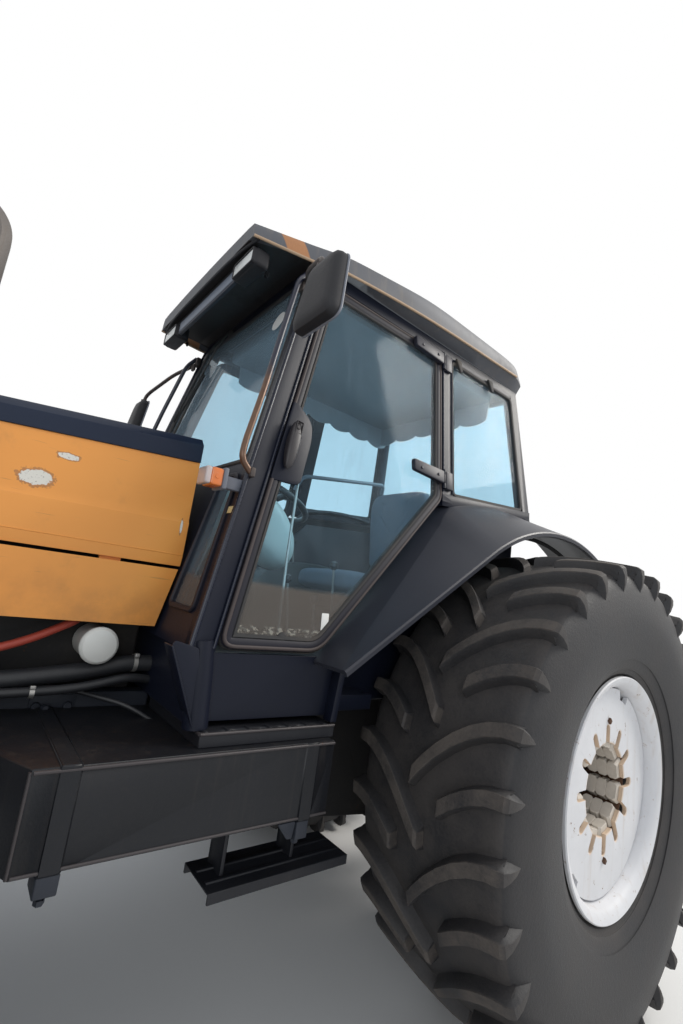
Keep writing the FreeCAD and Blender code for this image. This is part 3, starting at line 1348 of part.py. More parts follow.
def hitch():
    """Lower links, lift arms with their rods, drawbar, power take-off and top link bracket."""
    across = Vector(0, 1, 0)
    half_in = 300.0
    half_out = 420.0
    pin_x = s.link_pin_x.value
    pin_z = s.link_pin_z.value
    drop = -0.052
    reach = s.link_reach.value
    end = v(pin_x - reach, half_out, pin_z + reach * drop)
    start = v(pin_x, half_in, pin_z)
    boss = s.link_boss.value
    link = fused([
        bar(start, end, 60, 22),
        Part.makeCylinder(boss, 44, end - across * 22, across),
        Part.makeCylinder(34, 30, start - across * 15, across),
    ])
    link = link.cut(Part.makeCylinder(s.link_eye_radius.value, 60, end - across * 30, across))
    link = link.cut(Part.makeCylinder(s.link_pin_radius.value + s.run_gap.value, 60, start - across * 30,
                                      across))
    node("lower_links", *both("LowerLink", shape("LowerLink", link)))

    arm_y = 290.0
    arm_thick = 30.0
    shaft_radius = s.lift_shaft_radius.value
    tilt = math.radians(-25)
    arm_long = s.lift_arm_long.value
    pin = v(s.lift_pin_x, 0, s.lift_pin_z)
    tip = pin + v(-arm_long * math.cos(tilt), 0, arm_long * math.sin(tilt))
    eye_gap = s.seat_gap.value
    solids = [Part.makeCylinder(shaft_radius, 2 * arm_y, pin - across * arm_y, across)]
    for side in (1, -1):
        middle = across * (side * arm_y)
        solids.append(bar(pin + middle, tip + middle, 62, arm_thick))
        for spot, radius in ((pin, 50), (tip, 34)):
            solids.append(Part.makeCylinder(radius, arm_thick, spot + middle - across * (arm_thick / 2),
                                            across))
        solids.append(Part.makeCylinder(14, 50, tip + across * (side * arm_y), across * side))
    node("lift_arms", shape("LiftArms", fused(solids)))

    attach = 500.0
    low = v(pin_x - attach, 0, pin_z + attach * drop)
    rod_y = across * (arm_y + arm_thick / 2 + eye_gap + 12)
    eye = Part.makeCylinder(30, 24, tip + rod_y - across * 12, across)
    rod_bar = bar(tip + rod_y, low + rod_y, 32, 24)
    foot = Part.makeCylinder(26, 24, low + rod_y - across * 12, across)
    hole = Part.makeCylinder(14 + s.run_gap.value, 60, tip + rod_y - across * 30, across)
    node("lift_rods", *both("LiftRod", shape("LiftRod", fused([eye, rod_bar, foot]).cut(hole))))

    top = s.drawbar_top.value
    drawbar = Part.makeBox(740, 90, 40, v(-620, -45, top - 40))
    foot = Part.makeBox(240, 90, s.casing_bottom.value - s.seat_gap.value - top, v(-100, -45, top))
    hole = Part.makeCylinder(16.5, 80, v(-560, 0, top - 60), Vector(0, 0, 1))
    node("drawbar", shape("Drawbar", drawbar.fuse(foot).cut(hole).removeSplitter()))
    rear = s.casing_rear.value - s.seat_gap.value
    pto = Part.makeCylinder(17.5, 110, v(rear, 0, 700), Vector(-1, 0, 0))
    bracket = Part.makeBox(120, 90, 110, v(rear - 120, -45, 900))
    bracket = bracket.cut(Part.makeBox(90, 50, 140, v(rear - 130, -25, 890)))
    bracket = bracket.cut(Part.makeCylinder(12.9, 110, v(rear - 90, -55, 955), across))
    node("hitch_bracket", shape("PtoShaft", pto), shape("TopBracket", bracket))


engine_block()
transmission()
front_frame()
front_axle()
knuckles()
rear_wheels()
front_wheels()
hood()
nose()
exhaust()
engine_side()
side_boxes()
steps()
floor = cab_floor()
doc.recompute()
node("cab_floor", floor)
frame = cab_frame()
node("cab_frame", frame, front_panel())
cap = roof()
doors()
fixed_glass(frame)
fenders(frame, floor)
cab_inside(floor)
mirrors(frame)
lamps(frame, cap)
handrails(frame)
hitch()

doc.recompute()
for obj in doc.Objects:
    if "Invalid" in obj.State or "Error" in obj.State:
        raise RuntimeError("%s did not compute: %s" % (obj.Label, obj.State))
for obj in made:
    if obj.Shape.isNull() or not obj.Shape.isValid():
        raise RuntimeError("%s has no valid shape" % obj.Label)

os.makedirs("parts", exist_ok=True)
for obj in made:
    obj.Shape.exportStep("parts/%s.step" % obj.Label)
print(len(made), "sub-parts written")
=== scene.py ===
import json
import math

import bmesh
import bpy
import numpy as np
from bpy.props import FloatProperty, FloatVectorProperty, IntProperty, PointerProperty
from mathutils import Matrix, Vector

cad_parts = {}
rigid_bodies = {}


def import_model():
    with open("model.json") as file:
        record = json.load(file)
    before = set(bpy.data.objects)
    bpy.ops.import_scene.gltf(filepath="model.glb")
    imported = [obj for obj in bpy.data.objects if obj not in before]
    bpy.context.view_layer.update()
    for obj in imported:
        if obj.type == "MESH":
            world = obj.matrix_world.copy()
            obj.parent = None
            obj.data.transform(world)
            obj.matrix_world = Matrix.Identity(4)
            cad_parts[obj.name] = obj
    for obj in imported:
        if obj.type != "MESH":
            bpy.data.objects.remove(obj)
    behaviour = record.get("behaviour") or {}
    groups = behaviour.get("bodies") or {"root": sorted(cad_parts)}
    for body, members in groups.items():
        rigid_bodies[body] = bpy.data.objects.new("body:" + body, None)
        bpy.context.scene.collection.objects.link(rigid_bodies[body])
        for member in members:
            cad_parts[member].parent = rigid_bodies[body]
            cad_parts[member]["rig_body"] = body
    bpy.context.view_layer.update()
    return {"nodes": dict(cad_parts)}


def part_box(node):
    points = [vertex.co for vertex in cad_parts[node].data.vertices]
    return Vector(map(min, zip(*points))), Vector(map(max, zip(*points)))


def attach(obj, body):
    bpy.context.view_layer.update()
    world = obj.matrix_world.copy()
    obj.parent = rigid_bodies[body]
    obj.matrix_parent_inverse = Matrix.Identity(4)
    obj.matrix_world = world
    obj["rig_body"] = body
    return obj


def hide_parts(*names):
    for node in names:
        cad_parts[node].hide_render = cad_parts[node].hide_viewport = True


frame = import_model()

bl_info = {
    "name": "Farm Tractor",
    "version": (1, 0, 0),
    "blender": (4, 5, 0),
    "location": "3D View > Sidebar > Tractor",
    "description": "Dresses the packed farm tractor: tyres, weights, hood, cab, glass and their finishes",
    "category": "Add Mesh",
}


def middle(node):
    low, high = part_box(node)
    return (low + high) / 2


# Places below are measured from the rear axle along the tractor, from the middle and from the ground
REAR_AXLE = middle("rear_tyre_left").x
WHEELBASE = middle("front_tyre_left").x - REAR_AXLE
REAR_TRACK = middle("rear_tyre_left").y
FRONT_TRACK = middle("front_tyre_left").y
REAR_RADIUS = middle("rear_tyre_left").z
FRONT_RADIUS = middle("front_tyre_left").z
X = np.array((1.0, 0.0, 0.0))
Y = np.array((0.0, 1.0, 0.0))
Z = np.array((0.0, 0.0, 1.0))


# Surfaces: each is a pair of points and faces, or a triple with an attribute of the points

def quads(rows, columns, wrap_rows, wrap_columns):
    """Faces of a grid of points that are stored row after row."""
    row = np.arange(rows if wrap_rows else rows - 1)
    column = np.arange(columns if wrap_columns else columns - 1)
    a, b = np.meshgrid(row, column, indexing="ij")
    down = (a + 1) % rows
    on = (b + 1) % columns
    corners = [a * columns + b, a * columns + on, down * columns + on, down * columns + b]
    return np.stack(corners, -1).reshape(-1, 4)


def sheet(points, wrap_rows=False, wrap_columns=False):
    """A grid of points, shaped (rows, columns, 3), as one surface."""
    rows, columns = points.shape[:2]
    return points.reshape(-1, 3), quads(rows, columns, wrap_rows, wrap_columns)


def many(points, wrap_columns=False):
    """Copies of a grid, shaped (copies, rows, columns, 3), as one surface."""
    copies, rows, columns = points.shape[:3]
    faces = quads(rows, columns, False, wrap_columns)
    shift = np.arange(copies)[:, None, None] * rows * columns
    return points.reshape(-1, 3), (faces[None] + shift).reshape(-1, 4)


def cap(ring):
    """One flat face over a closed ring of points."""
    return ring, np.arange(len(ring))[None]


def grid(x, y, z):
    """Points from three coordinates that are spread over each other."""
    return np.stack(np.broadcast_arrays(x, y, z), -1)


def level(spots, axis, at):
    """Points of a plane across an axis, at a place on it."""
    return np.insert(np.asarray(spots, float), int(np.argmax(axis)), at, 1)


def unit(vectors):
    return vectors / np.maximum(np.linalg.norm(vectors, axis=-1, keepdims=True), 1e-12)


def bent(points, radius, steps=6, closed=False):
    """A line with rounded corners: each is a parabola between two points at most radius from the corner."""
    points = np.asarray(points, float)
    before = np.roll(points, 1, 0) - points
    after = np.roll(points, -1, 0) - points
    reach = np.minimum(radius, 0.49 * np.minimum(np.linalg.norm(before, axis=1),
                                                 np.linalg.norm(after, axis=1)))
    enter = points + unit(before) * reach[:, None]
    leave = points + unit(after) * reach[:, None]
    t = np.linspace(0, 1, steps)[None, :, None]
    curve = (1 - t) ** 2 * enter[:, None] + 2 * t * (1 - t) * points[:, None] + t ** 2 * leave[:, None]
    if closed:
        return curve.reshape(-1, points.shape[1])
    return np.concatenate([points[:1], curve[1:-1].reshape(-1, points.shape[1]), points[-1:]])


def smooth(points, steps=8, closed=False):
    """A Catmull-Rom curve: cubic spans through the points, each span's slopes from its neighbours."""
    points = np.asarray(points, float)
    if closed:
        padded = np.concatenate([points[-1:], points, points[:2]])
    else:
        padded = np.concatenate([2 * points[:1] - points[1:2], points, 2 * points[-1:] - points[-2:-1]])
    a, b, c, d = padded[:-3], padded[1:-2], padded[2:-1], padded[3:]
    t = np.linspace(0, 1, steps, endpoint=False)[None, :, None]
    curve = 0.5 * (2 * b[:, None] + (c - a)[:, None] * t + (2 * a - 5 * b + 4 * c - d)[:, None] * t ** 2
                   + (3 * b - a - 3 * c + d)[:, None] * t ** 3).reshape(-1, points.shape[1])
    return curve if closed else np.concatenate([curve, points[-1:]])


def tube(path, radius, sides=14, closed=False, flat=1.0):
    """A circle carried along a path, square to it, with closed ends; flat squashes it across."""
    path = np.asarray(path, float)
    if closed:
        along = unit(np.roll(path, -1, 0) - np.roll(path, 1, 0))
    else:
        along = unit(np.gradient(path, axis=0))
    choices = np.array((X, Y, Z, (0.6, 0.64, 0.48), (-0.6, 0.48, 0.64)))
    guide = choices[np.argmin(np.abs(along @ choices.T).max(0))]
    across = unit(np.cross(along, guide))
    over = np.cross(along, across)
    angle = np.linspace(0, 2 * math.pi, sides, endpoint=False)
    radius = np.broadcast_to(np.asarray(radius, float), len(path))[:, None, None]
    ring = across[:, None] * np.cos(angle)[None, :, None] * flat + over[:, None] * np.sin(angle)[None, :,
                                                                                                 None]
    points = path[:, None] + ring * radius
    parts = [sheet(points, closed, True)]
    if not closed:
        parts += [cap(points[0]), cap(points[-1])]
    return parts


def turned(profile, centre, sides=96, axis=Y, closed=False):
    """A profile of (along, radius) turned about an axis through the centre."""
    profile = np.asarray(profile, float)
    side = X if abs(axis[0]) < 0.5 else Z
    other = np.cross(axis, side)
    angle = np.linspace(0, 2 * math.pi, sides, endpoint=False)[:, None, None]
    along, radius = profile[None, :, :1], profile[None, :, 1:]
    points = np.asarray(centre, float) + axis * along + (side * np.cos(angle)
                                                         + other * np.sin(angle)) * radius
    return [sheet(points, True, closed)]


def slab(outline, normal, thick, edge=0.003):
    """A flat plate over a closed outline, its rim rounded by a quarter circle at each face."""
    outline = np.asarray(outline, float)
    normal = unit(np.asarray(normal, float))
    along = unit(np.roll(outline, -1, 0) - np.roll(outline, 1, 0))
    left = np.cross(normal, along)
    area = np.cross(outline - outline.mean(0), np.roll(outline, -1, 0) - outline.mean(0)).sum(0) @ normal
    inward = left if area > 0 else -left
    turn = np.linspace(0, math.pi / 2, 3)
    inset = edge * (1 - np.sin(turn))
    lift = edge * (1 - np.cos(turn))
    inset = np.concatenate([inset, inset[::-1]])
    lift = np.concatenate([lift, thick - lift[::-1]])
    rows = outline[None] + inward[None] * inset[:, None, None] + normal * lift[:, None, None]
    return [sheet(rows, False, True), cap(rows[0]), cap(rows[-1])]


def plate(corners, reach, steps, axis, at, thick, edge):
    """A flat plate across an axis, at a place on it, from its corners in the other two coordinates."""
    return slab(level(bent(corners, reach, steps, True), axis, at), axis, thick, edge)


def soft_box(low, high, radius=0.004, steps=2):
    """A block with round edges: a point of each face plus a radius along its rounded direction."""
    low, high = np.asarray(low, float), np.asarray(high, float)
    half = (high - low) / 2
    radius = min(radius, half.min() * 0.99)
    bend = np.tan(np.linspace(0, math.pi / 4, steps + 1))
    ramp = np.concatenate([-bend[::-1], bend])
    core = np.concatenate([-np.ones(steps + 1), np.ones(steps + 1)])
    a, b = np.meshgrid(ramp, ramp, indexing="ij")
    p, q = np.meshgrid(core, core, indexing="ij")
    parts = []
    for k in range(3):
        for side in (-1.0, 1.0):
            out = np.zeros(a.shape + (3,))
            inner = np.zeros(a.shape + (3,))
            out[..., k], out[..., (k + 1) % 3], out[..., (k + 2) % 3] = side, a, b
            inner[..., k], inner[..., (k + 1) % 3], inner[..., (k + 2) % 3] = side, p, q
            parts.append(sheet((low + high) / 2 + inner * (half - radius) + unit(out) * radius))
    return parts


def soft_boxes(spans, radius=0.004, steps=2):
    """Round-edged blocks, each from its low to its high corner."""
    return [part for low, high in spans for part in soft_box(low, high, radius, steps)]


def moved(parts, change):
    """The same surfaces with their points passed through a function."""
    return [(change(np.asarray(part[0], float)), *part[1:]) for part in parts]


def swung(parts, axis, degrees):
    """Surfaces turned about an axis through the origin."""
    turn = np.array(Matrix.Rotation(math.radians(degrees), 3, Vector(axis)))
    return moved(parts, lambda points: points @ turn.T)


def shifted(parts, by):
    return moved(parts, lambda points: points + np.asarray(by, float))


def other_side(parts):
    """The mirror image across the tractor's middle, with its faces turned back outwards."""
    return [(part[0] * (1, -1, 1), part[1][:, ::-1], *part[2:]) for part in parts]


def marked(parts, name, value):
    """Surfaces with a number on every point, which their finish reads."""
    return [(part[0], part[1], {name: np.full(len(part[0]), float(value))}) for part in parts]


def piece(name, parts, finish, body="chassis", replaces=(), slot=None, sharp=35.0):
    """Welds surfaces into one object in the frame and puts it on its body with its finish."""
    points = []
    faces = []
    marks = {}
    count = 0
    for part in parts:
        points.append(part[0])
        faces += (part[1] + count).tolist()
        for key, values in (part[2] if len(part) > 2 else {}).items():
            marks.setdefault(key, []).append((count, values))
        count += len(part[0])
    mesh = bpy.data.meshes.new(name)
    mesh.from_pydata((np.concatenate(points) + (REAR_AXLE, 0, 0)).tolist(), [], faces)
    for key, runs in marks.items():
        values = np.zeros(count, np.float32)
        for start, run in runs:
            values[start:start + len(run)] = run
        mesh.attributes.new(key, "FLOAT", "POINT").data.foreach_set("value", values)
    return dressed(name, mesh, finish, body, replaces, sharp)


def dressed(name, mesh, finish, body, replaces, sharp):
    """Welds a mesh, shades it smooth up to an angle and hands its object to the frame."""
    work = bmesh.new()
    work.from_mesh(mesh)
    bmesh.ops.remove_doubles(work, verts=work.verts, dist=2e-5)
    bmesh.ops.recalc_face_normals(work, faces=work.faces)
    work.to_mesh(mesh)
    work.free()
    mesh.shade_smooth()
    mesh.set_sharp_from_angle(angle=math.radians(sharp))
    mesh.materials.clear()
    mesh.materials.append(paint(finish) if isinstance(finish, str) else finish)
    obj = bpy.data.objects.new(name, mesh)
    bpy.context.scene.collection.objects.link(obj)
    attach(obj, body)
    if replaces:
        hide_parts(*replaces)
    return obj


def body_of(node):
    return frame["nodes"][node]["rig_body"]


def softened(node, finish, width):
    """A node's own shape with its edges rounded by a bevel, standing for that node."""
    sharp = 30.0
    mesh = frame["nodes"][node].data.copy()
    obj = dressed(node + "_soft", mesh, finish, body_of(node), (node,), sharp)
    bevel = obj.modifiers.new("RoundEdges", "BEVEL")
    bevel.width = width
    bevel.segments = 2
    bevel.limit_method = "ANGLE"
    bevel.angle_limit = math.radians(sharp)
    bevel.harden_normals = False
    return obj


# Shader formulas

def arithmetic(operation, reflected=False):
    """The method behind one operator of Value."""
    def method(self, other):
        return self.finish.math(operation, *((other, self) if reflected else (self, other)))
    return method


class Value:
    """One socket of a material in a formula: each operator adds a Math node."""

    def __init__(self, finish, socket):
        self.finish = finish
        self.socket = socket

    __add__, __radd__ = arithmetic("ADD"), arithmetic("ADD", True)
    __sub__, __rsub__ = arithmetic("SUBTRACT"), arithmetic("SUBTRACT", True)
    __mul__, __rmul__ = arithmetic("MULTIPLY"), arithmetic("MULTIPLY", True)
    __truediv__, __pow__ = arithmetic("DIVIDE"), arithmetic("POWER")


class Finish:
    """A material, or a world, under construction, with the nodes that its formulas need."""

    def __init__(self, name, world=None):
        self.material = world or bpy.data.materials.new(name)
        self.material.use_nodes = True
        self.tree = self.material.node_tree
        self.tree.nodes.clear()
        self.place = self.add("ShaderNodeTexCoord", output="Object")

    def add(self, kind, settings=None, *values, sockets=None, output=0):
        """A node of a kind: its settings first, then its sockets in order or by name."""
        node = self.tree.nodes.new(kind)
        for key, value in (settings or {}).items():
            setattr(node, key, value)
        for index, value in enumerate(values):
            self.feed(node.inputs[index], value)
        for key, value in (sockets or {}).items():
            self.feed(node.inputs[key], value)
        return Value(self, node.outputs[output])

    def math(self, operation, *values):
        return self.add("ShaderNodeMath", {"operation": operation}, *values)

    def feed(self, socket, value):
        if isinstance(value, Value):
            self.tree.links.new(value.socket, socket)
        elif value is not None:
            if hasattr(value, "__len__") and len(value) == 3 and socket.type == "RGBA":
                value = (*value, 1.0)
            socket.default_value = value

    def stretched(self, x, y, z):
        """Object coordinates scaled along each axis."""
        return self.add("ShaderNodeMapping", None, self.place, sockets={"Scale": (x, y, z)})

    def noise(self, scale, detail, rough, place=None):
        return self.add("ShaderNodeTexNoise", None, place or self.place, output="Fac",
                        sockets={"Scale": scale, "Detail": detail, "Roughness": rough})

    def band(self, value, low, high):
        """0 below low, 1 above high and a smooth step between."""
        return self.add("ShaderNodeMapRange", {"interpolation_type": "SMOOTHSTEP"}, value, low, high)

    def mark(self, name):
        """A number that the mesh carries on its points."""
        return self.add("ShaderNodeAttribute", {"attribute_name": name}, output="Fac")

    def mix(self, factor, first, second):
        """A colour between two others."""
        return self.add("ShaderNodeMix", {"data_type": "RGBA"}, output=2,
                        sockets={0: factor, 6: first, 7: second})

    def height(self, field, strength, distance):
        """A bump: how strong, and how high in metres."""
        return self.add("ShaderNodeBump",
                        sockets={"Strength": strength, "Distance": distance, "Height": field})

    def axis(self, name):
        """One object coordinate as a number."""
        return self.add("ShaderNodeSeparateXYZ", None, self.place, output=name)

    def principled(self, **sockets):
        named = {key.replace("_", " ").title().replace("Ior", "IOR"): value for key, value in sockets.items()}
        return self.add("ShaderNodeBsdfPrincipled", sockets=named)

    def done(self, shader, kind="ShaderNodeOutputMaterial"):
        node = self.tree.nodes.new(kind)
        self.tree.links.new(shader.socket, node.inputs["Surface"])
        return self.material


# Colours that several finishes share
DUST = (0.25, 0.2, 0.155)
RUST = (0.2, 0.075, 0.028)


def worn(name, colour, rough, dust, metallic=0.0, rust=0.0, grain=0.15, streak=0.0, coat=0.0,
         dust_colour=DUST, patch=3.0, shine=0.5):
    """Painted or bare metal: patchy colour, dust in clouds, rust in spots, runs down the sides."""
    f = Finish(name)
    shade = 0.12
    colour = np.array(colour)
    clouds = f.noise(patch, 4, 0.6)
    fine = f.noise(170, 3, 0.6)
    base = f.mix(clouds, tuple(colour * (1 - shade)),
                 tuple(np.minimum(colour * (1 + shade) + shade * 0.02, 1)))
    roughness = rough + (fine - 0.5) * 0.18
    if streak:
        runs = f.band(f.noise(1, 4, 0.6, f.stretched(34, 34, 1.6)), 0.5, 0.75) * streak
        base = f.mix(runs, base, tuple(np.array(dust_colour) * 0.8))
        roughness = roughness + runs * 0.2
    settled = f.band(f.noise(2.3, 6, 0.62), 0.62 - 0.35 * dust, 0.95 - 0.2 * dust) * dust
    specks = f.band(f.noise(90, 2, 0.5), 0.55, 0.85) * dust * 0.12
    cover = settled + specks
    base = f.mix(cover, base, dust_colour)
    roughness = roughness + cover * 0.3
    if rust:
        eaten = f.band(f.noise(19, 7, 0.7), 0.7 - 0.16 * rust, 0.76 - 0.12 * rust)
        base = f.mix(eaten, base, f.mix(fine, RUST, tuple(np.array(RUST) * 0.45)))
        roughness = roughness + eaten * 0.3
    bump = f.height(fine * 0.6 + clouds, grain, 0.0015)
    return f.done(f.principled(base_color=base, roughness=roughness, metallic=metallic, coat_weight=coat,
                               coat_roughness=0.25, specular_ior_level=shine, normal=bump))


# Columns: finish, colour, and the rest of its worn paint
PAINTS = {"cab_grey": ((0.0055, 0.0075, 0.0165), dict(rough=0.42, dust=0.08, shine=0.22,
                                                      dust_colour=(0.08, 0.078, 0.085))),
          "bead_brown": ((0.055, 0.043, 0.042), dict(rough=0.55, dust=0.25, shine=0.3)),
          "hood_navy": ((0.005, 0.012, 0.032), dict(rough=0.42, dust=0.08, shine=0.3,
                                                    dust_colour=(0.1, 0.1, 0.11))),
          "chassis_blue": ((0.018, 0.022, 0.032), dict(rough=0.55, dust=0.2, rust=0.2, shine=0.4)),
          "box_black": ((0.011, 0.012, 0.016), dict(rough=0.5, dust=0.15, grain=0.3, shine=0.35)),
          "engine_iron": ((0.022, 0.021, 0.021), dict(rough=0.7, dust=0.35, rust=0.3, shine=0.35)),
          "exhaust_steel": ((0.16, 0.145, 0.135), dict(rough=0.62, metallic=0.5, dust=0.3, rust=0.55,
                                                       streak=0.3)),
          "filter_white": ((0.72, 0.71, 0.66), dict(rough=0.4, dust=0.3, coat=0.2)),
          "hitch_steel": ((0.05, 0.048, 0.047), dict(rough=0.55, metallic=0.35, dust=0.5, rust=0.5)),
          "trim_rubber": ((0.018, 0.018, 0.019), dict(rough=0.75, dust=0.35, grain=0.3)),
          "frame_brown": ((0.011, 0.011, 0.018), dict(rough=0.5, dust=0.1, shine=0.25)),
          "mirror_shell": ((0.017, 0.017, 0.02), dict(rough=0.6, dust=0.18, grain=0.5, shine=0.3)),
          "dash_plastic": ((0.66, 0.74, 0.7), dict(rough=0.45, dust=0.12)),
          "mat_black": ((0.03, 0.03, 0.032), dict(rough=0.85, dust=0.6, grain=0.5)),
          "hinge_brown": ((0.024, 0.024, 0.034), dict(rough=0.45, dust=0.18, rust=0.15, shine=0.3)),
          "grip_grey": ((0.028, 0.025, 0.028), dict(rough=0.42, dust=0.12, shine=0.4)),
          "pillar_gloss": ((0.009, 0.012, 0.025), dict(rough=0.28, dust=0.05, shine=0.4)),
          "fender_grey": ((0.026, 0.028, 0.038), dict(rough=0.4, dust=0.12, shine=0.35)),
          "zinc": ((0.42, 0.41, 0.39), dict(rough=0.45, metallic=0.8, dust=0.3, rust=0.25)),
          "hose_red": ((0.42, 0.06, 0.035), dict(rough=0.5, dust=0.25)),
          "hose_black": ((0.02, 0.021, 0.024), dict(rough=0.5, dust=0.25, grain=0.3)),
          "edge_cream": ((0.42, 0.29, 0.185), dict(rough=0.6, dust=0.3)),
          "roof_rim": ((0.022, 0.022, 0.026), dict(rough=0.6, dust=0.2, shine=0.3)),
          "strip_blue": ((0.03, 0.036, 0.052), dict(rough=0.5, dust=0.2, shine=0.3)),
          "plate_grey": ((0.15, 0.175, 0.22), dict(rough=0.5, dust=0.25)),
          "indicator_grey": ((0.13, 0.14, 0.17), dict(rough=0.5, dust=0.25)),
          "tag_yellow": ((0.62, 0.5, 0.24), dict(rough=0.5, dust=0.2)),
          "rim_light": ((0.16, 0.17, 0.2), dict(rough=0.5, dust=0.3)),
          "mirror_tube": ((0.06, 0.048, 0.044), dict(rough=0.5, metallic=0.3, dust=0.25, rust=0.3)),
          "wheel_black": ((0.022, 0.023, 0.026), dict(rough=0.35, dust=0.1, coat=0.2)),
          "console_grey": ((0.055, 0.07, 0.07), dict(rough=0.55, dust=0.25)),
          "liner_grey": ((0.34, 0.37, 0.4), dict(rough=0.85, dust=0.2, grain=0.4)),
          "bar_grey": ((0.2, 0.23, 0.27), dict(rough=0.4, dust=0.15)),
          "fold_edge": ((0.048, 0.042, 0.044), dict(rough=0.45, metallic=0.2, dust=0.25, rust=0.2,
                                                    shine=0.4)),
          "tank_black": ((0.006, 0.007, 0.01), dict(rough=0.46, dust=0.13, grain=0.4, streak=0.08, patch=5.0,
                                                    shine=0.35)),}
# How much darker the hood's paint is in its clouds, and the rims'
HOOD_CLOUDS = np.array((0.76, 0.285, 0.05)) / (0.86, 0.36, 0.075)
RIM_CLOUDS = np.array((0.56, 0.56, 0.575)) / (0.7, 0.7, 0.715)
painted = {}


class PaintColours(bpy.types.PropertyGroup):
    hood: FloatVectorProperty(name="Hood", description="Orange of the hood and its side panels",
                              subtype="COLOR", default=(0.86, 0.36, 0.075), min=0, max=1)
    rims: FloatVectorProperty(name="Rims", description="White of the rims", subtype="COLOR",
                              default=(0.7, 0.7, 0.715), min=0, max=1)
    cab_grey: FloatVectorProperty(name="Cab", description="Pillars, floor and handle plates", subtype="COLOR",
                                  default=PAINTS["cab_grey"][0], min=0, max=1)
    fender_grey: FloatVectorProperty(name="Fenders", description="Rear fenders", subtype="COLOR",
                                     default=PAINTS["fender_grey"][0], min=0, max=1)
    chassis_blue: FloatVectorProperty(name="Chassis", description="Front frame and axle", subtype="COLOR",
                                      default=PAINTS["chassis_blue"][0], min=0, max=1)


def paint(name):
    """The worn finish of that name, made once, in the panel's colour where the panel has one."""
    if name not in painted:
        colour, changes = PAINTS[name]
        painted[name] = worn(name, getattr(bpy.context.scene.tractor_paints, name, colour), **changes)
    return painted[name]


def tyre_rubber():
    """Black rubber, dusty where the points are marked, with a soft sheen on the sidewall."""
    f = Finish("tyre_rubber")
    dusty = f.mark("dust")
    clouds = f.noise(5, 6, 0.7)
    fine = f.noise(120, 4, 0.65)
    cover = dusty * f.band(clouds + fine * 0.35, 0.35, 0.85)
    black = f.mix(fine, (0.01, 0.0105, 0.013), (0.021, 0.022, 0.026))
    base = f.mix(cover * 0.75, black, f.mix(clouds, (0.075, 0.062, 0.053), (0.15, 0.128, 0.11)))
    pits = f.noise(60, 5, 0.75)
    return f.done(f.principled(base_color=base, roughness=0.5 + cover * 0.35 + fine * 0.08,
                               specular_ior_level=0.4, normal=f.height(pits * 0.6 + fine * 0.4, 0.5, 0.003)))


def rim_white():
    """Cream white paint, sooty in clouds, with chips down to rust and brown runs, and a painted sunlit
    highlight in cream on the slot walls.
    """
    f = Finish("rim_white")
    clouds = f.noise(6, 5, 0.6)
    clean = np.array(bpy.context.scene.tractor_paints.rims)
    base = f.mix(clouds, tuple(clean * RIM_CLOUDS), tuple(clean))
    # Painted sunlit highlight: the slot walls that the disc marks are tinted cream
    base = f.mix(f.mark("warm") * 0.8, base, (0.66, 0.47, 0.3))
    runs = f.band(f.noise(1, 4, 0.6, f.stretched(22, 22, 2.2)), 0.52, 0.8)
    base = f.mix(runs * 0.35, base, (0.42, 0.33, 0.25))
    chips = f.band(f.noise(34, 6, 0.72), 0.655, 0.69)
    halo = f.band(f.noise(34, 6, 0.72), 0.6, 0.68)
    base = f.mix(halo * 0.4, base, (0.4, 0.26, 0.16))
    base = f.mix(chips, base, (0.075, 0.035, 0.02))
    fine = f.noise(150, 3, 0.6)
    return f.done(f.principled(base_color=base, roughness=0.5 + chips * 0.35 + fine * 0.1,
                               normal=f.height(fine * 0.2 - chips, 0.5, 0.001)))


def weight_iron():
    """Cream paint on iron, gone to dark rust where the points are marked."""
    f = Finish("weight_iron")
    deep = f.mark("rust")
    clouds = f.noise(22, 6, 0.7)
    eaten = f.band(deep * 1.2 + clouds * 0.7, 0.78, 1.0)
    cream = f.mix(clouds, (0.42, 0.37, 0.31), (0.66, 0.61, 0.54))
    base = f.mix(eaten, cream, f.mix(clouds, (0.05, 0.026, 0.017), (0.13, 0.065, 0.035)))
    return f.done(f.principled(base_color=base, roughness=0.6 + eaten * 0.3,
                               normal=f.height(f.noise(90, 4, 0.7), 0.4, 0.001)))


def sticker_white():
    """Blank white sticker, a little yellowed."""
    f = Finish("sticker_white")
    clouds = f.noise(30, 3, 0.5)
    return f.done(f.principled(base_color=f.mix(clouds, (0.62, 0.62, 0.6), (0.75, 0.74, 0.7)), roughness=0.5,
                               normal=f.height(clouds, 0.1, 0.0005)))


def spot(f, x, z, half_x, half_z):
    """1 inside an ellipse on the left side with a torn edge, 0 outside: its size varies with noise."""
    across = (f.axis("X") - (x + REAR_AXLE)) / half_x
    up = (f.axis("Z") - z) / half_z
    tear = f.noise(70, 4, 0.7)
    inside = 1.0 - across * across - up * up + (tear - 0.5) * 2
    return f.band(inside, 0.0, 0.12) * f.band(f.axis("Y"), 0.0, 0.01)


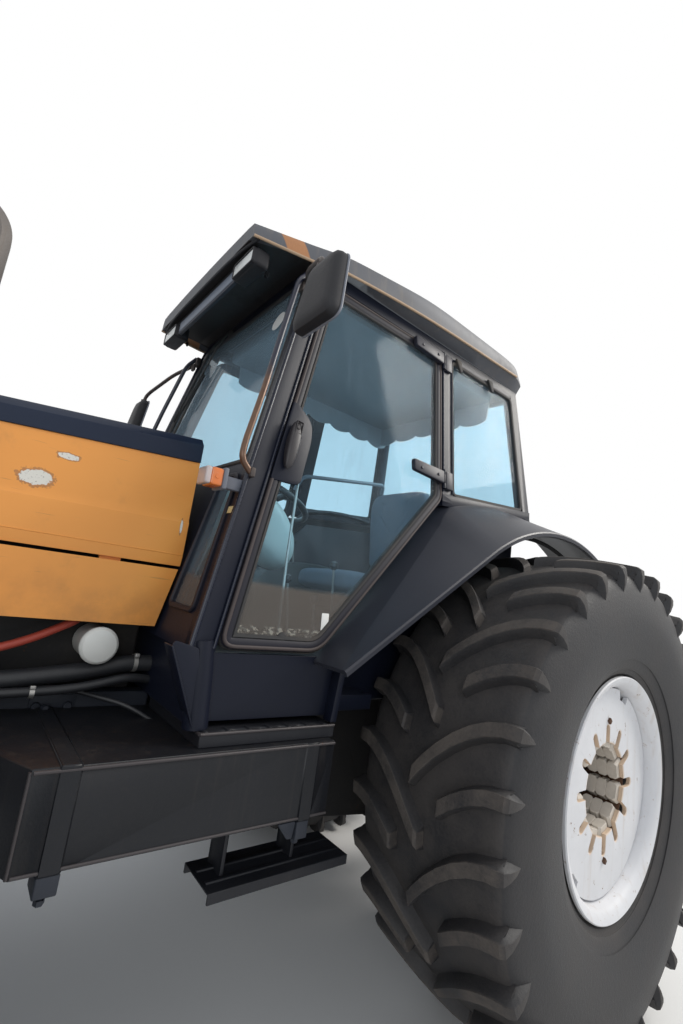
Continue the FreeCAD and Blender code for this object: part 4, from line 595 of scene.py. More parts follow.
def hood_paint():
    """Faded orange paint with grime near the edges, fine scratches and chips down to white filler."""
    if "hood" in painted:
        return painted["hood"]
    f = Finish("hood_orange")
    clouds = f.noise(1.7, 5, 0.6)
    clean = np.array(bpy.context.scene.tractor_paints.hood)
    base = f.mix(clouds, tuple(clean * HOOD_CLOUDS), tuple(clean))
    grime = f.band(f.noise(7, 6, 0.7), 0.56, 0.8)
    base = f.mix(grime * 0.22, base, (0.3, 0.17, 0.08))
    scratch = f.band(f.noise(1, 2, 0.4, f.stretched(9, 9, 260)), 0.72, 0.78)
    base = f.mix(scratch * 0.35, base, (0.3, 0.15, 0.06))
    fine = f.noise(220, 2, 0.5)
    low = f.band(1.5 - f.axis("Z"), 0.0, 0.17) * f.band(f.noise(9, 5, 0.6), 0.35, 0.7)
    base = f.mix(low * 0.35, base, (0.27, 0.12, 0.04))
    dots = f.band(f.noise(160, 3, 0.7), 0.6, 0.66)
    for x, z, half_x, half_z in ((2.01, 1.685, 0.04, 0.022), (1.947, 1.762, 0.028, 0.009),
                                 (1.597, 1.63, 0.004, 0.022), (2.24, 1.6, 0.016, 0.007)):
        rim = spot(f, x, z, half_x * 1.2, half_z * 1.3)
        bare_and_painted_reflection = spot(f, x, z, half_x, half_z)
        base = f.mix(rim * 0.7, base, (0.3, 0.13, 0.05))
        base = f.mix(bare_and_painted_reflection, base, f.mix(dots, (0.72, 0.69, 0.62), (0.1, 0.07, 0.06)))
    painted["hood"] = f.done(f.principled(base_color=base, roughness=0.44 + grime * 0.25 + fine * 0.06,
                                          coat_weight=0.12, coat_roughness=0.3,
                                          normal=f.height(fine * 0.3 + clouds, 0.12, 0.001)))
    return painted["hood"]


def roof_paint():
    """Weathered grey cap with a slanted orange-brown band over each front corner, a painted shade that
    darkens it under the visor, a painted sunlit highlight that makes its top paler towards the rear, and pale
    where it lines the cab."""
    f = Finish("roof_cap")
    x, z = f.axis("X") - REAR_AXLE, f.axis("Z")
    clouds = f.noise(3, 5, 0.6)
    fine = f.noise(150, 3, 0.6)
    base = f.mix(clouds, (0.062, 0.066, 0.078), (0.1, 0.104, 0.116))
    dust = f.band(f.noise(4, 6, 0.7), 0.5, 0.8) * 0.4
    runs = f.band(f.noise(1, 4, 0.6, f.stretched(30, 30, 1.5)), 0.5, 0.75) * 0.25
    # Painted sunlit highlight: the top of the roof is paler, more so towards the rear
    pale = f.band(z, 2.755, 2.8) * f.band(1.1 - x, 0.0, 0.5) * 0.35
    base = f.mix(dust + runs, base, (0.2, 0.17, 0.14))
    base = f.mix(pale, base, (0.3, 0.3, 0.31))
    slant = x - (z - 2.66) * 0.45
    stripe = f.band(slant, 1.355, 1.362) * f.band(1.452 - slant, 0.0, 0.007)
    stripe = stripe * f.band(z, 2.668, 2.672)
    base = f.mix(stripe * (0.75 + clouds * 0.25), base, f.mix(fine, (0.36, 0.15, 0.055), (0.48, 0.22, 0.085)))
    # Painted shade: nearly black on the roof's underside ahead of the lining, beneath the visor
    wide = f.math("ABSOLUTE", f.axis("Y"))
    under = f.band(x, 1.25, 1.26) * f.band(2.7035 - f.math("MAXIMUM", x - 1.34, 0.0) * 0.144 - z, 0.0, 0.001)
    under = under * f.band(0.51 - (x - 1.34) * 0.284 - wide, 0.0, 0.003)
    base = f.mix(under, base, (0.02, 0.016, 0.015))
    lined = f.band(1.245 - x, 0.0, 0.005) * f.band(2.7015 - z, 0.0, 0.002)
    base = f.mix(lined, base, f.mix(fine, (0.27, 0.3, 0.33), (0.4, 0.43, 0.46)))
    return f.done(f.principled(base_color=base, roughness=0.55 + dust * 0.5 + fine * 0.08,
                               normal=f.height(fine * 0.5 + clouds, 0.3, 0.0015)))


def rail_paint():
    """Navy paint with a painted reflection of the ground in bronze over the lower third of the rail."""
    f = Finish("rail_paint")
    clouds = f.noise(40, 4, 0.6)
    # Painted reflection: below about 2.2 m the rail is tinted bronze and made half metallic, standing for the
    # ground reflected in it
    bare_and_painted_reflection = f.band(2.2 - f.axis("Z") + (clouds - 0.5) * 0.15, 0.0, 0.12)
    base = f.mix(bare_and_painted_reflection, (0.01, 0.013, 0.03), f.mix(clouds, (0.085, 0.045, 0.03), (0.16, 0.095, 0.062)))
    return f.done(f.principled(base_color=base, roughness=0.27 + clouds * 0.1, metallic=bare_and_painted_reflection * 0.5,
                               normal=f.height(clouds, 0.15, 0.0008)))


def mirror_silver():
    """Mirror face under a film of dust."""
    f = Finish("mirror_silver")
    film = f.band(f.noise(9, 5, 0.6), 0.4, 0.8)
    return f.done(f.principled(base_color=f.mix(film, (0.8, 0.82, 0.84), (0.5, 0.5, 0.48)), metallic=0.95,
                               roughness=0.05 + film * 0.3))


def seat_cloth():
    """Woven blue-grey cloth: crossed fine waves with wear in clouds."""
    f = Finish("seat_cloth")
    wave = [f.math("SINE", f.axis(name) * 1500.0) for name in "XYZ"]
    weave = wave[0] * wave[1] + wave[1] * wave[2]
    clouds = f.noise(7, 5, 0.6)
    base = f.mix(clouds, (0.16, 0.2, 0.25), (0.27, 0.32, 0.38))
    base = f.mix(f.band(f.noise(25, 4, 0.7), 0.5, 0.8) * 0.3, base, DUST)
    return f.done(f.principled(base_color=base, roughness=0.88,
                               normal=f.height(weave + clouds * 2, 0.25, 0.0008)))


def window_glass():
    """Thin glass: tinted and clear, mirror-like at a slant, with a film of dust."""
    f = Finish("cab_glass")
    haze = 0.075
    clear = f.add("ShaderNodeBsdfTransparent", None, (0.815, 0.925, 0.975))
    film = f.band(f.noise(2.2, 6, 0.65), 0.35, 0.85)
    streaks = f.band(f.noise(1, 4, 0.6, f.stretched(26, 26, 2.0)), 0.5, 0.85)
    coated = f.principled(base_color=(0.36, 0.43, 0.48), roughness=0.06, ior=1.5)
    slant = f.add("ShaderNodeLayerWeight", None, 0.5, output="Facing")
    cover = 0.03 + slant ** 5 * 0.9 + film * haze + streaks * haze * 0.6
    # Ground dust low on the side windows, with a pale wiped streak near its foot
    mud = f.band(1.5 - f.axis("Z") + (film - 0.5) * 0.02, 0.0, 0.02) * (0.45 + film * 0.2)
    wiped = f.band(f.noise(1, 3, 0.6, f.stretched(60, 60, 90)), 0.52, 0.6) * f.band(1.372 - f.axis("Z"), 0.0,
                                                                                    0.01)
    wiped = wiped * f.band(f.axis("Z"), 1.338, 1.348)
    dusty = f.principled(base_color=f.mix(wiped * 0.8, (0.125, 0.098, 0.078), (0.45, 0.42, 0.35)),
                         roughness=0.8)
    glazed = f.add("ShaderNodeMixShader", None, cover, clear, coated)
    return f.done(f.add("ShaderNodeMixShader", None, mud, glazed, dusty))


def lens(name, colour):
    """Moulded lens: coloured, shiny, with fine upright flutes."""
    f = Finish(name)
    flutes = f.math("SINE", f.axis("Y") * 900.0)
    film = f.band(f.noise(14, 5, 0.65), 0.45, 0.8)
    base = f.mix(film * 0.45, colour, DUST)
    return f.done(f.principled(base_color=base, roughness=0.14 + film * 0.3, coat_weight=0.5,
                               coat_roughness=0.1, normal=f.height(flutes, 0.25, 0.001)))


# Stage

class StageSizes(bpy.types.PropertyGroup):
    camera_place: FloatVectorProperty(
        name="Camera place", description="From the rear axle, the middle and the ground", subtype="XYZ",
        default=(2.1331, 1.91, 1.4885), unit="LENGTH")
    yaw: FloatProperty(name="Yaw", description="Turn from straight across, towards the rear",
                       default=math.radians(37.79), subtype="ANGLE")
    pitch: FloatProperty(name="Pitch", description="Tilt upwards", default=math.radians(9.78),
                         subtype="ANGLE")
    roll: FloatProperty(name="Roll", description="Turn about the view", default=math.radians(8.07),
                        subtype="ANGLE")
    lens: FloatProperty(name="Lens", description="Focal length on a 36 mm long side", default=16.71)
    key: FloatProperty(name="Key light", description="Strength of the large light behind the cab",
                       default=430.0)
    fill: FloatProperty(name="Fill light", description="Strength of the light beside the camera",
                        default=110.0)
    air: FloatProperty(name="Air light", description="Strength of the light from all round", default=0.62)
    floor_colour: FloatVectorProperty(name="Floor colour", description="Pale floor", subtype="COLOR",
                                      default=(0.8, 0.79, 0.77), min=0, max=1)


def look_axes(yaw, pitch, roll):
    """The camera's right, up and forward directions."""
    forward = np.array((-math.sin(yaw) * math.cos(pitch), -math.cos(yaw) * math.cos(pitch), math.sin(pitch)))
    right = np.array((-math.cos(yaw), math.sin(yaw), 0.0))
    up = np.cross(right, forward)
    return (math.cos(roll) * right + math.sin(roll) * up, math.cos(roll) * up - math.sin(roll) * right,
            forward)


class TRACTOR_OT_stage(bpy.types.Operator):
    """Camera at the photograph's viewpoint, pale floor and soft studio light"""
    bl_idname = "tractor.stage"
    bl_label = "Stage"

    def execute(self, context):
        sizes = context.scene.tractor_stage
        scene = context.scene
        right, up, forward = look_axes(sizes.yaw, sizes.pitch, sizes.roll)
        camera = bpy.data.objects.new("Camera", bpy.data.cameras.new("Camera"))
        scene.collection.objects.link(camera)
        basis = Matrix([(*row,) for row in np.stack([right, up, -forward], 1)]).to_4x4()
        basis.translation = Vector(sizes.camera_place) + Vector((REAR_AXLE, 0, 0))
        camera.matrix_world = basis
        camera.data.sensor_fit = "VERTICAL"
        camera.data.sensor_height = 36.0
        camera.data.lens = sizes.lens
        camera.data.clip_start = 0.02
        scene.camera = camera
        self.floor(sizes)
        self.lights(sizes)
        scene.view_settings.view_transform = "Standard"
        return {"FINISHED"}

    def floor(self, sizes):
        reach = 40.0
        corners = np.array([(-reach, -reach, 0), (reach, -reach, 0), (reach, reach, 0), (-reach, reach, 0)])
        mesh = bpy.data.meshes.new("Floor")
        mesh.from_pydata((corners - (0, 0, 0.001)).tolist(), [], [(0, 1, 2, 3)])
        f = Finish("floor")
        base = f.mix(f.noise(3, 4, 0.6), tuple(np.array(sizes.floor_colour) * 0.97),
                     tuple(sizes.floor_colour))
        mesh.materials.append(f.done(f.principled(base_color=base, roughness=0.9)))
        floor = bpy.data.objects.new("Floor", mesh)
        bpy.context.scene.collection.objects.link(floor)

    def lights(self, sizes):
        """White where the camera, gloss or glass looks, blue-white where it lights, and two large lamps."""
        bpy.context.scene.world = bpy.data.worlds.new("Studio")
        f = Finish("Studio", bpy.context.scene.world)
        camera, glass, gloss = (f.add("ShaderNodeLightPath", output="Is %s Ray" % kind)
                                for kind in ("Camera", "Transmission", "Glossy"))
        seen = f.math("MAXIMUM", f.math("MAXIMUM", camera, glass), gloss)
        air = f.add("ShaderNodeBackground", None, (0.86, 0.92, 1.0), sizes.air)
        white = f.add("ShaderNodeBackground", None, (1.0, 1.0, 1.0), 1.0)
        f.done(f.add("ShaderNodeMixShader", None, seen, air, white), "ShaderNodeOutputWorld")
        # Columns: name, place from the rear axle, aim, width, watts, colour
        table = (("Key", (-4.5, 3.5, 6.0), (0.4, 0.3, 1.2), 3.0, sizes.key, (1.0, 0.96, 0.9)),
                 ("Fill", (5.5, 6.0, 3.2), (0.6, 0.4, 1.0), 4.0, sizes.fill, (0.92, 0.96, 1.0)),)
        for name, place, aim, width, watts, colour in table:
            data = bpy.data.lights.new(name, "AREA")
            data.size = width
            data.energy = watts
            data.color = colour
            lamp = bpy.data.objects.new(name, data)
            bpy.context.scene.collection.objects.link(lamp)
            lamp.location = Vector(place) + Vector((REAR_AXLE, 0, 0))
            aim = Vector(aim) + Vector((REAR_AXLE, 0, 0)) - lamp.location
            lamp.rotation_euler = aim.to_track_quat("-Z", "Y").to_euler()


# Tyres

class TyreSizes(bpy.types.PropertyGroup):
    rear_stations: IntProperty(name="Rear lugs", description="Lugs on each side of a rear tyre", default=30)
    front_stations: IntProperty(name="Front lugs", description="Lugs on each side of a front tyre",
                                default=18)
    lug_width: FloatProperty(name="Lug width", description="Top of a lug round the tyre", default=0.049,
                             unit="LENGTH")
    rear_phase: FloatProperty(name="Phase", description="First outer shoulder of the rear left tyre",
                              default=math.radians(18.8), subtype="ANGLE")


# Section of a casing: share of the half width, share of the height from bead to lug tips
CASING = np.array(((0.755, 0.0), (0.755, 0.055), (0.8, 0.075), (0.825, 0.112), (0.845, 0.118), (0.9, 0.2),
                   (0.915, 0.205), (0.955, 0.31), (0.985, 0.42), (1.0, 0.52), (0.997, 0.6), (0.982, 0.68),
                   (0.96, 0.755), (0.93, 0.815), (0.885, 0.855), (0.8, 0.878), (0.62, 0.893), (0.4, 0.904),
                   (0.2, 0.911), (0.0, 0.914),))
# Rows of a lug from its inner end: how far along the crown, and how high
LUG_RUN = np.array(((0.0, -0.1), (0.0, 0.8), (0.025, 0.97), (0.12, 1.0), (0.25, 1.0), (0.4, 1.0), (0.55, 1.0),
                    (0.7, 1.0), (0.85, 1.0), (0.96, 1.0)))
# Columns across a lug: share of half its top width, share of its height
LUG_CROSS = np.array(((-1.62, -0.08), (-1.24, 0.55), (-1.08, 0.88), (-0.93, 0.985), (0.0, 1.0), (0.93, 0.985),
                      (1.08, 0.88), (1.24, 0.55), (1.62, -0.08)))


REAR_BEAD, FRONT_BEAD = 0.4063, 0.3303
# Each half of a tyre is this much narrower than its solid, so that no lug passes that
INSET = 0.0006
# The lag of the inner lugs behind the outer ones, the front pattern's first lug and the sweep of a bar
LUG_LAG, FRONT_PHASE, LUG_SWEEP = (math.radians(degrees) for degrees in (11.15, 2.3, 12.3))


class TyreForm:
    """Bead, width and radius of one tyre, with its casing and lugs."""

    def __init__(self, radius, half, bead, width, stations):
        self.radius = radius
        self.half = half
        self.bead = bead
        self.width = width
        self.stations = stations

    def casing_radius(self, u):
        """Radius of the casing's crown at a distance from the tyre's middle plane."""
        share = np.abs(u) / self.half
        return self.bead + (self.radius - self.bead) * np.interp(share, CASING[::-1, 0][:6],
                                                                 CASING[::-1, 1][:6])

    def casing(self):
        """The section as a smooth curve turned about the axle."""
        side = CASING * (self.half, self.radius - self.bead) + (0, self.bead)
        whole = np.concatenate([side, side[-2::-1] * (-1, 1)])
        curve = np.concatenate([whole[:2], smooth(whole[2:-2], 4), whole[-2:]])
        parts = turned(curve, (0, 0, 0), 180, closed=True)
        high = (curve[:, 1] - self.bead) / (self.radius - self.bead)
        dust = np.where(high > 0.85, 0.42, 0.16 + 0.3 * np.exp(-((high - 0.06) / 0.08) ** 2))
        return [(parts[0][0], parts[0][1], {"dust": np.tile(dust, 180)})]

    def lugs(self, side, long_shoulders, short_shoulders):
        """Curved bars from the middle to the shoulder, each ending in a blade down the sidewall.
        A bar lies at its shoulder's angle less the sweep times (1 - u / 0.87 half) to the 1.8."""
        parts = []
        crown_drop = 0.023 * self.radius
        reach = 0.87 * self.half
        for shoulders, inner in ((long_shoulders, -0.08), (short_shoulders, 0.29)):
            start = inner * self.half
            u = start + (0.97 * self.half - start) * LUG_RUN[:, 0]
            top = self.radius - crown_drop * (np.abs(u) / (0.84 * self.half)) ** 2
            base = self.casing_radius(u)
            # The blade: rows over the shoulder and down the sidewall, as top and base in the section
            blade_u = np.array((0.985, 1.0, 0.992, 0.965)) * self.half
            blade_r = self.bead + (self.radius - self.bead) * np.array((0.925, 0.87, 0.8, 0.735))
            root_u = np.array((0.9, 0.935, 0.95, 0.955)) * self.half
            root_r = self.bead + (self.radius - self.bead) * np.array((0.83, 0.8, 0.765, 0.725))
            top_u = np.concatenate([u, blade_u])
            top_r = np.concatenate([base + (top - base) * LUG_RUN[:, 1], blade_r])
            base_u = np.concatenate([u, root_u])
            base_r = np.concatenate([base - 0.006, root_r])
            wide = np.interp(np.arange(len(top_u)), (0, 1, 9, 10, 11, 12, 13),
                             (0.9, 1.0, 0.86, 0.8, 0.56, 0.3, 0.05))
            turn_back = LUG_SWEEP * np.maximum(0, 1 - top_u / reach) ** 1.8
            rise = LUG_CROSS[None, :, 1:]
            section = np.stack([base_u, base_r], 1)[:, None] * (1 - rise) + np.stack([top_u, top_r],
                                                                                     1)[:, None] * rise
            spread = wide[:, None] * LUG_CROSS[None, :, 0] * self.width / 2 / self.radius
            angle = shoulders[:, None, None] - turn_back[None, :, None] + spread[None]
            out = section[None, ..., 1]
            surface = many(grid(out * np.cos(angle), side * section[None, ..., 0], out * np.sin(angle)))
            worn_top = np.where(rise[..., 0] > 0.9, 1.0, 0.25) * np.ones((len(top_u), 1))
            worn_top[-4:] *= 0.45
            parts.append((surface[0], surface[1], {"dust": np.tile(worn_top.ravel(), len(shoulders))}))
        return parts

    def surfaces(self, first):
        """Casing and both rows of lugs; on the inner side the pattern lags behind the outer one."""
        pitch = 2 * math.pi / self.stations
        even = 2 * pitch * np.arange(self.stations // 2)
        return (self.casing() + self.lugs(1, first + even, first + pitch + even)
                + self.lugs(-1, first - LUG_LAG + even, first - LUG_LAG + pitch + even))


class TRACTOR_OT_tyres(bpy.types.Operator):
    """Four bar-lug tyres: a turned casing with curved lugs, long and short by turns"""
    bl_idname = "tractor.tyres"
    bl_label = "Tyres"

    def execute(self, context):
        sizes = context.scene.tractor_tyres
        rubber = tyre_rubber()
        rear_half, front_half = ((high.y - low.y) / 2 - INSET
                                 for low, high in (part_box("rear_tyre_left"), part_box("front_tyre_left")))
        rear = TyreForm(REAR_RADIUS, rear_half, REAR_BEAD, sizes.lug_width, sizes.rear_stations)
        front = TyreForm(FRONT_RADIUS, front_half, FRONT_BEAD, sizes.lug_width * 0.85, sizes.front_stations)
        left_rear = shifted(rear.surfaces(sizes.rear_phase), (0, REAR_TRACK, REAR_RADIUS))
        left_front = shifted(front.surfaces(FRONT_PHASE), (WHEELBASE, FRONT_TRACK, FRONT_RADIUS))
        for place, left in (("rear", left_rear), ("front", left_front)):
            for hand, parts in (("left", left), ("right", other_side(left))):
                node = "%s_tyre_%s" % (place, hand)
                piece(node + "_lugged", parts, rubber, body_of(node), (node,), "tyre_rubber", sharp=28)
        return {"FINISHED"}


# Rims and weights

def barrel(half, flange, seat, depth):
    """Section of a rim's barrel: flange lips, bead seats and a well between them, as (along, radius)."""
    outer = np.array(((0.0, flange - 0.004), (0.004, flange), (0.014, flange), (0.02, flange - 0.008),
                      (0.026, seat), (0.07, seat), (0.09, seat - depth), (0.13, seat - depth)))
    inner = np.array(((0.13, seat - depth - 0.012), (0.082, seat - depth - 0.012), (0.058, seat - 0.02),
                      (0.03, seat - 0.018), (0.012, seat - 0.006), (0.004, flange - 0.016)))
    left = [(along - half, radius) for along, radius in outer]
    right = [(half - along, radius) for along, radius in outer[::-1]]
    back = [(half - along, radius) for along, radius in inner[::-1]]
    front = [(along - half, radius) for along, radius in inner]
    return np.array(left + right + back + front)


def slot_edge(angle, count, hole, slot_end, width):
    """Radius of a hole's edge with slots: the hole, or a slot's straight sides, or its round end."""
    pitch = 2 * math.pi / count
    off = np.abs((angle + pitch / 2) % pitch - pitch / 2)
    centre = slot_end - width / 2
    straight = width / 2 / np.maximum(np.sin(off), 1e-6)
    inside = np.maximum((width / 2) ** 2 - (centre * np.sin(off)) ** 2, 0)
    rounded = centre * np.cos(off) + np.sqrt(inside)
    slot = np.minimum(straight, rounded)
    return np.where(off < math.asin(width / 2 / hole), np.maximum(slot, hole), hole)


def slotted_disc(y_front, thick, hole, slot_end, width, rim, count, notches):
    """A disc between a slotted hole and its outer edge, with the edge cut back at each notch's angle."""
    pitch = 2 * math.pi / count
    near = math.asin(width / 2 / hole)
    tight = math.asin(width / 2 / (slot_end - width / 2))
    half = np.concatenate([np.linspace(0, tight, 7), np.linspace(tight, near, 3)[1:], [near * 1.001],
                           np.linspace(near * 1.1, pitch / 2, 5)[:-1]])
    step = np.concatenate([-half[:0:-1], half, [pitch / 2]])
    angle = (step[None] + pitch * np.arange(count)[:, None]).ravel()
    edge = slot_edge(angle, count, hole, slot_end, width)
    outer = np.full(len(angle), rim)
    for notch in notches:
        off = np.abs((angle - notch + math.pi) % (2 * math.pi) - math.pi)
        outer = np.where(off < 0.095, np.minimum(outer, rim - 0.034), outer)
    turn = 0.0025
    radius = np.stack([edge, edge + turn, edge + turn * 2 + 0.004, (edge + outer) / 2, outer, outer,
                       (edge + outer) / 2, edge + turn], 1)
    depth = np.array((-turn, -turn * 0.3, 0, 0, 0, -thick, -thick, -thick)) + y_front
    points = grid(radius * np.cos(angle)[:, None], depth, radius * np.sin(angle)[:, None])
    surface = sheet(points, True, True)
    # The slot walls are marked 1, easing to 0.6 on the front rounding, for a painted sunlit highlight that
    # the rim's finish tints cream
    return [(surface[0], surface[1], {"warm": np.tile((1, 0.6, 0, 0, 0, 0, 0, 1), len(angle))})]


def toothed_ring(y_middle, thick, inner, outer, count, gap, chamfer):
    """Blocks round a well: each an eight-sided prism whose corners are cut where the rings meet."""
    half = math.pi * inner / count - gap / 2
    deep = thick / 2
    corners = np.array(((-half + chamfer, -deep), (half - chamfer, -deep), (half, -deep + chamfer),
                        (half, deep - chamfer), (half - chamfer, deep), (-half + chamfer, deep),
                        (-half, deep - chamfer), (-half, -deep + chamfer)))
    shrink = np.array((0.0, 0.93, 1.0, 1.0))[:, None, None]
    radius = np.array((inner, inner, inner + 0.0025, outer))[:, None]
    spots = corners[None] * shrink
    turn = (2 * math.pi / count) * (np.arange(count) + 0.5)[:, None, None]
    angle = turn + spots[None, ..., 0] / inner
    points = grid(radius * np.cos(angle), spots[None, ..., 1] + y_middle, radius * np.sin(angle))
    surface = many(points, wrap_columns=True)
    marks = np.tile(np.repeat((0.05, 0.1, 0.15, 0.3), 8), count)
    return [(surface[0], surface[1], {"rust": marks})]


def bolt(centre, axis, size, high, sides=6):
    """A bolt head: a prism with a chamfered crown."""
    profile = ((0, size / 2), (high * 0.8, size / 2), (high, size * 0.4), (high, 0.0))
    return turned(profile, centre, sides, axis)


# Rear disc: outer face from the tyre's middle, and thickness. Weights: radius of their well, depth of one,
# teeth round it. Radius of the circle of the square nuts.
DISC_FACE = 0.205
DISC_THICK = 0.017
WELL_RADIUS = 0.199
WEIGHT_DEEP = 0.04
TEETH = 12
NUT_CIRCLE = 0.252


class TRACTOR_OT_rims(bpy.types.Operator):
    """White rims with rust, slotted rear discs and the stacked toothed weights in their wells"""
    bl_idname = "tractor.rims"
    bl_label = "Rims and weights"

    def execute(self, context):
        white = rim_white()
        iron = weight_iron()
        centre = np.array((0.0, REAR_TRACK, REAR_RADIUS))
        rim = (turned(barrel(0.26, 0.432, 0.406, 0.022), (0, 0, 0), 160, closed=True)
               + slotted_disc(DISC_FACE, DISC_THICK, 0.168, 0.236, 0.035, 0.3775, TEETH,
                              (math.radians(112), math.radians(311))))
        nuts = []
        for angle in (math.pi / 2, 3 * math.pi / 2):
            nuts += bolt((NUT_CIRCLE * math.cos(angle), DISC_FACE, NUT_CIRCLE * math.sin(angle)), Y, 0.024,
                         0.01, 4)
        weights = []
        for k in range(3):
            weights += toothed_ring(DISC_FACE - DISC_THICK - 0.021 - WEIGHT_DEEP * k, WEIGHT_DEEP, 0.15,
                                    WELL_RADIUS, TEETH, 0.014, 0.009)
        behind = DISC_FACE - DISC_THICK - 0.0005
        well = turned(((behind, WELL_RADIUS), (behind, WELL_RADIUS + 0.0005), (0.04, WELL_RADIUS + 0.0005),
                       (0.04, 0.14), (0.045, 0.11), (0.075, 0.1), (0.075, 0.0)), (0, 0, 0), 96)
        casing = turned(((0.04, 0.205), (behind, 0.205), (behind, WELL_RADIUS)), (0, 0, 0), 96)
        back = turned(((-0.069, 0.0), (-0.069, 0.165), (-0.02, 0.165), (0.005, 0.11), (0.04, 0.11),
                       (0.04, 0.205)), (0, 0, 0), 96)
        weights += marked(well + casing + back, "rust", 1.0) + marked(nuts, "rust", 0.75)
        for hand, turn in (("left", lambda parts: parts), ("right", other_side)):
            piece("rear_rim_%s_dish" % hand, turn(shifted(rim, centre)), white, "rear_wheel_" + hand,
                  ("rear_rim_" + hand,), "rim_white")
            piece("rear_hub_%s_weights" % hand, turn(shifted(weights, centre)), iron, "rear_wheel_" + hand,
                  ("rear_hub_" + hand,), "rim_white", sharp=25)
            softened("front_rim_" + hand, white, 0.003)
        return {"FINISHED"}


# The cab's leaning planes: where they cross the sill's height, and how far they lean in for each metre up

SILL_Z = 1.3
SILL_HALF = 0.683
SIDE_LEAN = 0.13
FRONT_FOOT = 1.612
FRONT_LEAN = 0.292 / 1.4
SIDE_OUT = unit(np.array((0.0, 1.0, SIDE_LEAN)))
FRONT_OUT = unit(np.array((1.0, 0.0, FRONT_LEAN)))


def side_y(z):
    """Outer face of the cab's side at a height."""
    return SILL_HALF - SIDE_LEAN * (z - SILL_Z)


def front_x(z):
    """Front face of the cab at a height."""
    return FRONT_FOOT - FRONT_LEAN * (z - SILL_Z)


def on_side(spots, out=0.0):
    """Points of the side plane from (x, z), at a distance outside it."""
    spots = np.asarray(spots, float)
    x, z = spots[..., 0], spots[..., 1]
    return grid(x, side_y(z), z) + SIDE_OUT * np.asarray(out, float)[..., None]


def on_front(spots, out=0.0):
    """Points of the front plane from (y, z), at a distance ahead of it."""
    spots = np.asarray(spots, float)
    y, z = spots[..., 0], spots[..., 1]
    return grid(front_x(z), y, z) + FRONT_OUT * np.asarray(out, float)[..., None]


def to_side(parts):
    """Surfaces drawn as (x, distance out, z), laid on the side plane."""
    return moved(parts, lambda p: on_side(p[:, (0, 2)], p[:, 1]))


def to_front(parts):
    """Surfaces drawn as (distance out, y, z), laid on the front plane."""
    return moved(parts, lambda p: on_front(p[:, 1:], p[:, 0]))


def edging(outline, normal, profile):
    """A closed profile carried round a flat outline with mitred corners.
    Its points are (inwards, outwards along the normal)."""
    outline = np.asarray(outline, float)
    normal = unit(np.asarray(normal, float))
    ahead = unit(np.roll(outline, -1, 0) - outline)
    behind = np.roll(ahead, 1, 0)
    along = unit(ahead + behind)
    left = np.cross(normal, along) / np.maximum(np.sum(ahead * along, -1, keepdims=True), 0.3)
    centre = outline.mean(0)
    area = np.cross(outline - centre, np.roll(outline, -1, 0) - centre).sum(0) @ normal
    inward = left if area > 0 else -left
    profile = np.asarray(profile, float)
    points = outline[:, None] + inward[:, None] * profile[None, :, :1] + normal * profile[None, :, 1:]
    return [sheet(points, True, True)]


def rib(width, high, root=-0.003):
    """Half-round section on a face, as (inwards, out)."""
    angle = np.linspace(0, math.pi, 7)
    arc = np.stack([width / 2 * (1 - np.cos(angle)), high * np.sin(angle)], 1)
    return np.concatenate([[(0, root)], arc, [(width, root)]])


def door_outline(inset=0.0):
    """Corners of the left door as (x, z) with an inset, then rounded."""
    # The lower rear edge runs 0.599 m forward and 0.640 m down
    slope = math.hypot(0.599, 0.64) / 0.64
    corners = np.array([(0.591 + inset, 1.94 + inset * 0.45), (1.19 + inset * slope * 0.35, 1.3 + inset),
                        (1.536 - inset, 1.3 + inset), (1.2557 - inset, 2.644 - inset),
                        (0.591 + inset, 2.644 - inset)])
    reach = np.array((0.03, 0.05, 0.05, 0.07, 0.06))
    return bent(corners, reach, 7, True)


def screen_outline():
    """Corners of the windscreen as (y, z), rounded: it keeps the same distance from the leaning pillars."""
    low, high, pillar = 1.862, 2.648, 0.046
    return bent(((side_y(low) - pillar, low), (side_y(high) - pillar, high), (pillar - side_y(high), high),
                 (pillar - side_y(low), low)), 0.04, 6, True)


def pair(name, parts, finish, body="chassis", replaces=(), **options):
    """A piece of the left side and its mirror image. Names with left in them turn to right for the twin,
    and a node without a side is replaced by the left piece alone."""
    for hand, turn in (("left", lambda p: p), ("right", other_side)):
        nodes = tuple(node.replace("left", hand) for node in replaces if hand == "left" or "left" in node)
        piece("%s_%s" % (name, hand), turn(parts), finish, body.replace("left", hand), nodes, **options)


# Doors

# Heights of the hinges, and the latch rod's foot as (x, out, z)
HINGES = (2.035, 2.61)
LATCH_FOOT = (1.331, 0.0, 1.338)
# Sections of the frame and its seals: inwards from the door's outline, out from the side plane
DOOR_SECTION = ((0.003, -0.029), (0.0, -0.022), (0.0, -0.006), (0.003, -0.001), (0.01, 0.002), (0.024, 0.002),
                (0.031, -0.001), (0.034, -0.006), (0.034, -0.029))
SEAL_SECTION = ((0.031, -0.024), (0.031, -0.003), (0.034, 0.0015), (0.04, 0.0005), (0.044, -0.004),
                (0.044, -0.024))
OUTER_SEAL = ((-0.0045, -0.026), (-0.0045, -0.01), (-0.002, -0.006), (0.001, -0.01), (0.001, -0.026))


